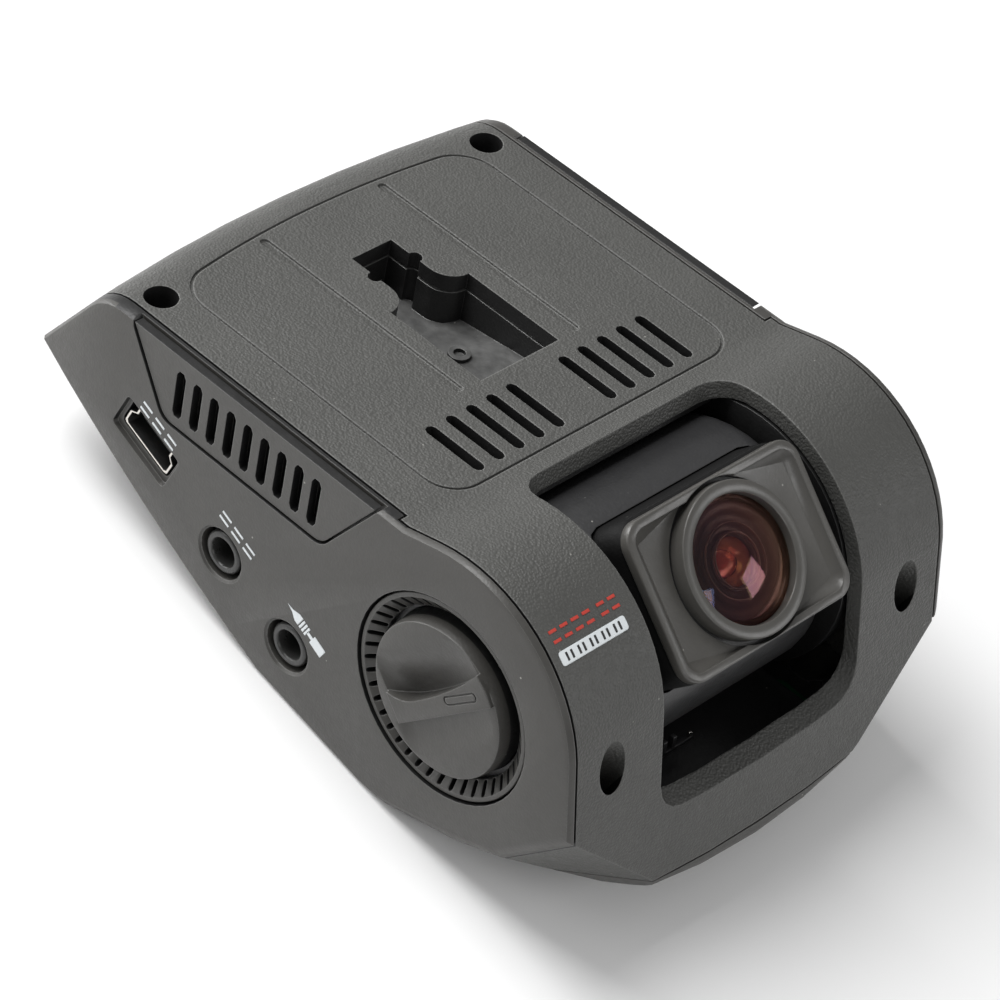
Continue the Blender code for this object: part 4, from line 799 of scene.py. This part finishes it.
def bowlCutter(name, shape, edgeOf, side):
    # a bowl that is deepest beside the ridge and runs out smoothly into the disc's face
    bpy.ops.object.select_all(action="DESELECT")
    bpy.ops.mesh.primitive_grid_add(x_subdivisions=48, y_subdivisions=18, size=2)
    bowl = bpy.context.object
    bowl.name = name
    bpy.ops.object.mode_set(mode="EDIT")
    bpy.ops.mesh.select_all(action="SELECT")
    bpy.ops.mesh.extrude_region_move(TRANSFORM_OT_translate={"value": (0, 0, 1)})
    bpy.ops.object.mode_set(mode="OBJECT")
    first, last, deepest = shape["first"], shape["last"], shape["at"]
    for vertex in bowl.data.vertices:
        u = first + (last - first) * (vertex.co.x + 1) / 2
        share = (vertex.co.y + 1) / 2
        away = (u - deepest) / ((last if u > deepest else first) - deepest)
        sunk = shape["deep"] * (1 - away**2) * (1 + math.cos(math.pi * share)) / 2 - 0.03 * share
        height = knobShape["ridge"] + 1 if vertex.co.z > 0.5 else knobShape["face"] - sunk
        vertex.co = (u * mm, (edgeOf(u) + side * shape["wide"] * share) * mm, height * mm)
    pickOnly(bowl)
    bpy.ops.object.mode_set(mode="EDIT")
    bpy.ops.mesh.select_all(action="SELECT")
    bpy.ops.mesh.normals_make_consistent(inside=False)
    bpy.ops.object.mode_set(mode="OBJECT")
    bowl.data.transform(knobFrame)
    return bowl


def lowerEdge(u):
    return -1.78 + 0.023 * (u + 7)


radius, face = knobShape["radius"], knobShape["face"]
discSide = [
    (0, face), (radius - 0.45, face), (radius - 0.12, face - 0.12), (radius, face - 0.5),
    (radius + 0.1, face - 1.45), (radius + 0.1, face - 1.6),
    (radius + knobShape["taper"], knobShape["foot"]), (0, knobShape["foot"]),
]
knob = spunPiece("tiltKnob", discSide, knobFrame, 96)
ridge = [(u / 2, scoopEdge(u / 2)) for u in range(-14, 18)] + [ridgeEnd["tip"], ridgeEnd["out"]]
ridge += [(u, lowerEdge(u)) for u in (ridgeEnd["far"], ridgeEnd["near"])]
ridgePiece = flatPiece("ridge", ridge, knobShape["foot"] + 1, knobShape["ridge"], knobFrame)
roundEdges(ridgePiece, 0.14, 3, 50)
joinShape(knob, ridgePiece, "UNION")
joinShape(knob, bowlCutter("scoop", scoopShape, scoopEdge, 1))
joinShape(knob, bowlCutter("dip", dipShape, lowerEdge, -1))
pillAt = 4.5
pillOuter, pillInner = roundedPoints(2.65, 0.56, 0.5, 6, pillAt), roundedPoints(2.42, 0.34, 0.3, 6, pillAt)
pillCut = flatPiece("pillCut", pillOuter, knobShape["ridge"] - 0.2, 32, knobFrame)
joinShape(pillCut, flatPiece("pillKeep", pillInner, 28, 33, knobFrame))
joinShape(knob, pillCut)
# painted shade: the disc's side walls below the lit band get the near-black finish
darkInside(knob, innerBlack, lambda at, facing: at.x > -29.0 and abs(facing.x) < 0.5)
finishPiece(knob, "lens_unit", satinCover, ["adjuster_knob"], 30)

dialSide = [
    (dialShape["outer"], dialShape["foot"]), (dialShape["outer"], dialShape["top"] - 0.15),
    (dialShape["outer"] - 0.12, dialShape["top"]), (dialShape["rim"], dialShape["top"]),
    (dialShape["inner"], dialShape["low"]), (dialShape["inner"], dialShape["foot"]),
]
dial = spunPiece("knobDial", dialSide, knobFrame, 126)
slotOutline = roundedPoints(dialShape["slotHalf"], dialShape["slotWide"], 0.29, 5, dialShape["slotAt"])
cuts = []
for k in range(dialShape["slots"]):
    turn = knobFrame @ Matrix.Rotation(math.tau * (k + 0.5) / dialShape["slots"], 4, "Z")
    cuts.append(flatPiece("slot", slotOutline, 27.0, 31.0, turn))
joinShape(dial, joinAll("slots", cuts))
roundEdges(dial, 0.05, 2, 50)
# painted shade on the slot walls
darkInside(dial, innerBlack, lambda at, facing: abs(facing.x) < 0.35)
finishPiece(dial, "lens_unit", satinCover, ["knob_ring"])
# painted shade: a near-black ring in the valley round the disc
well = spunPiece("dialWell", [(12.1, 27.45), (9.35, 27.45), (9.35, 27.2), (12.1, 27.2)], knobFrame, 64)
finishPiece(well, "lens_unit", innerBlack)
print("knob ready")


# lens unit

bezelShape = {
    "halfX": 13.3, "halfY": 9.1, "corner": 2.6, "face": 17.4, "back": 16.0,
    "rim": 0.95, "dish": 0.9, "bore": 8.98,
}
dishFloor = {"halfX": 11.35, "corner": 6.6, "full": 8.0, "fullX": 5.0}

drum = copyNode("lens_drum", "lensDrum")
finishPiece(drum, "lens_unit", drumBlack, ["lens_drum"])
blockFoot = roundedPoints(13.3, 9.25, 3.0, 8)
blockTop = roundedPoints(12.9, 8.75, 2.4, 8)
block = hullPiece("bezelBlock", [(blockFoot, 9.4), (blockFoot, 15.2), (blockTop, 15.95)], lensFrame)
joinShape(block, rodPiece("blockBore", 8.6, 5, 20, lensFrame, 64))
deepBlack = {"color": (0.006, 0.006, 0.006), "gloss": 0.6, "specular": 0.12, "dusty": 0.5, "paintedPebbleLight": 0.0}
blockBlack = moulded("blockBlack", {**black, **deepBlack})
finishPiece(block, "lens_unit", blockBlack)
bezelOutline = roundedPoints(bezelShape["halfX"], bezelShape["halfY"], bezelShape["corner"], 12)
bezel = flatPiece("bezelPlate", bezelOutline, bezelShape["back"], bezelShape["face"], Matrix())
roundEdges(bezel, 0.28, 4, 60)
rim = bezelShape["rim"]
rimInside = roundedPoints(bezelShape["halfX"] - rim, bezelShape["halfY"] - rim, 1.9, 8)
dishPoints = []
for sx, sy in ((1, 1), (-1, 1), (-1, -1), (1, -1)):
    ends = [(dishFloor["halfX"], dishFloor["corner"]), (dishFloor["fullX"], dishFloor["full"])]
    ends = [(sx * x, sy * y) for x, y in ends]
    dishPoints += ends if sx * sy > 0 else ends[::-1]
face = bezelShape["face"]
dishLayers = [(dishPoints, face - bezelShape["dish"]), (rimInside, face - 0.05), (rimInside, face + 1)]
dish = hullPiece("dish", dishLayers, Matrix())
joinShape(bezel, dish)
joinShape(bezel, rodPiece("bezelBore", bezelShape["bore"], 5, 25, Matrix(), 96))
roundEdges(bezel, 0.05, 2, 24)
bezel.data.transform(lensFrame)
finishPiece(bezel, "lens_unit", paleBezel, ["lens_bezel"], 26)
gapRing = spunPiece("ringShadow", [(8.97, 16.1), (8.3, 16.1), (8.3, 15.8), (8.97, 15.8)], lensFrame, 64)
finishPiece(gapRing, "lens_unit", innerBlack)
ringSide = [
    (8.45, 17.85), (8.45, 14.0), (7.0, 14.0), (7.0, 17.7),
    (7.06, 17.98), (7.22, 18.08), (8.2, 18.1), (8.38, 18.03),
]
lensRing = spunPiece("lensRing", ringSide, lensFrame, 96)
finishPiece(lensRing, "lens_unit", paleBezel, ["lens_ring"], 40)
domeShape = {"edge": 17.0, "rise": 1.9, "radius": 6.97, "wall": 0.35}


def domePoints(edge, rise, radius, steps):
    ball = (radius**2 + rise**2) / (2 * rise)
    low, half = edge + rise - ball, math.asin(radius / ball)
    turns = [half * k / steps for k in range(steps + 1)]
    return [(ball * math.sin(a), low + ball * math.cos(a)) for a in turns]


front = domePoints(domeShape["edge"], domeShape["rise"], domeShape["radius"], 20)
behind = domePoints(domeShape["edge"] - domeShape["wall"], domeShape["rise"], domeShape["radius"], 20)
frontLens = spunPiece("frontLens", front + behind[::-1], lensFrame, 96)
finishPiece(frontLens, "lens_unit", frontGlass, ["front_lens"], 60)
# shallow blackened bowl behind the dome, stepped in fine rings
bowlSteps = [(6.9, 16.6), (6.55, 16.55)]
bowlShape = {"rings": 6, "pitch": 0.55, "fall": 0.13}
for k in range(bowlShape["rings"]):
    inward, down = bowlShape["pitch"] * k, bowlShape["fall"] * k
    bowlSteps += [(6.5 - inward, 16.5 - down), (6.05 - inward, 16.42 - down)]
bowlSteps += [(3.1, 15.9), (3.05, 16.15), (2.85, 16.2), (2.7, 16.05), (2.7, 15.0), (7.4, 15.0), (7.4, 16.3)]
barrel = spunPiece("lensBarrel", bowlSteps, lensFrame, 96)
finishPiece(barrel, "lens_unit", barrelBlack, ["lens_barrel"], 30)
second = domePoints(15.7, 1.0, 2.7, 12)
secondLens = spunPiece("secondLens", second + [(2.7, 15.5), (0, 15.5)], lensFrame, 64)
finishPiece(secondLens, "lens_unit", innerGlass, ["middle_lens"], 60)
for name, radius, height in (("innerRim", 2.95, 16.75), ("middleRim", 4.05, 16.5)):
    rim = [(radius + 0.05, height), (radius + 0.05, height - 0.3), (radius, height - 0.3), (radius, height)]
    finishPiece(spunPiece(name, rim, lensFrame, 96), "lens_unit", rimGrey)
# painted reflection: the iris and the deep element carry the painted red and warm colours
irisSide = [(2.7, 15.35), (2.7, 15.0), (1.2, 14.7), (1.1, 14.85), (1.25, 15.0)]
iris = spunPiece("lensIris", irisSide, lensFrame, 64)
finishPiece(iris, "lens_unit", irisWarm, ["rear_lens"], 40)
deepLens = spunPiece("deepLens", domePoints(14.6, 0.6, 1.25, 8) + [(1.25, 14.4), (0, 14.4)], lensFrame, 48)
finishPiece(deepLens, "lens_unit", irisRed, (), 60)
print("lens unit ready")


# what is left keeps its modelled shape

for node, finish in {
    "bottom_housing": satinCover, "left_bearing_plate": innerBlack, "right_bearing_plate": innerBlack,
    "drum_cradle": innerBlack,
}.items():
    piece = copyNode(node, node + "Skin")
    finishPiece(piece, "case", finish, [node])
for node, finish in {
    "screen_window": screenGlass, "lcd_panel": chipBlack, "main_board": boardGreen,
    "button_board": boardGreen, "sensor_board": boardGreen, "main_processor": chipBlack,
    "memory_chip": chipBlack, "image_sensor": chipBlack, "flex_connector": innerBlack,
    "backup_cell": cellWrap, "microphone": socketMetal, "speaker": chipBlack,
    "card_socket": socketMetal, "memory_card": chipBlack, "knob_shaft": innerBlack, "pivot_pin": darkSteel,
    "friction_washer": darkSteel, "detent_spring": darkSteel,
}.items():
    frame["nodes"][node].data.materials.clear()
    frame["nodes"][node].data.materials.append(finish)
for node, cadPiece in frame["nodes"].items():
    if node.endswith("_screw") or node.endswith("_button"):
        cadPiece.data.materials.clear()
        cadPiece.data.materials.append(paleBezel if node.endswith("_button") else darkSteel)


# floor, light and camera

pickOnly(topShell)
bpy.ops.mesh.primitive_plane_add(size=6, location=(0, 0, 0))
floor = bpy.context.object
floor.name = "paleFloor"
floorFinish = bpy.data.materials.new("paleFloor")
floorFinish.use_nodes = True
floorFinish.node_tree.nodes["Principled BSDF"].inputs["Base Color"].default_value = (0.93, 0.93, 0.93, 1)
floorFinish.node_tree.nodes["Principled BSDF"].inputs["Roughness"].default_value = 0.8
floor.data.materials.append(floorFinish)

world = bpy.data.worlds.new("paleRoom")
bpy.context.scene.world = world
world.use_nodes = True
world.node_tree.nodes["Background"].inputs["Color"].default_value = (1, 1, 1, 1)
world.node_tree.nodes["Background"].inputs["Strength"].default_value = 0.3
bpy.context.scene.view_settings.view_transform = "Standard"

softboxes = {
    "overhead": {"at": (-0.12, 0.42, 0.62), "size": 0.4, "power": 5.2},
    "rearLow": {"at": (-0.1, 0.75, 0.16), "size": 0.3, "power": 3.0},
    "portSide": {"at": (-0.36, 0.34, 0.2), "size": 0.25, "power": 0.5},
    "noseSide": {"at": (-0.25, -0.75, 0.5), "size": 0.3, "power": 1.1},
    "starboardFront": {"at": (0.5, -0.62, 0.38), "size": 0.3, "power": 1.2},
}
for name, box in softboxes.items():
    lamp = bpy.data.lights.new(name, "AREA")
    lamp.shape = "SQUARE"
    lamp.size = box["size"]
    lamp.energy = box["power"]
    holder = bpy.data.objects.new(name, lamp)
    holder.location = box["at"]
    holder.rotation_euler = (Vector((0, 0, 0.02)) - Vector(box["at"])).to_track_quat("-Z", "Y").to_euler()
    bpy.context.scene.collection.objects.link(holder)

viewer = {
    "at": (-281.61, -213.11, 278.63), "right": (0.6937, -0.7031, 0.1562),
    "up": (0.3822, 0.5431, 0.7476), "ahead": (0.6105, 0.4589, -0.6455),
}
eye = bpy.data.cameras.new("viewer")
eye.lens = 151.386
eye.sensor_width = 36
eye.clip_start = 0.01
eye.clip_end = 20
eyeHolder = bpy.data.objects.new("viewer", eye)
bpy.context.scene.collection.objects.link(eyeHolder)
aim = Matrix.Identity(4)
for column, key, sign in ((0, "right", 1), (1, "up", 1), (2, "ahead", -1)):
    for row in range(3):
        aim[row][column] = sign * viewer[key][row]
for row in range(3):
    aim[row][3] = viewer["at"][row] * mm
eyeHolder.matrix_world = caseFrame @ aim
bpy.context.scene.camera = eyeHolder

print("scene ready")
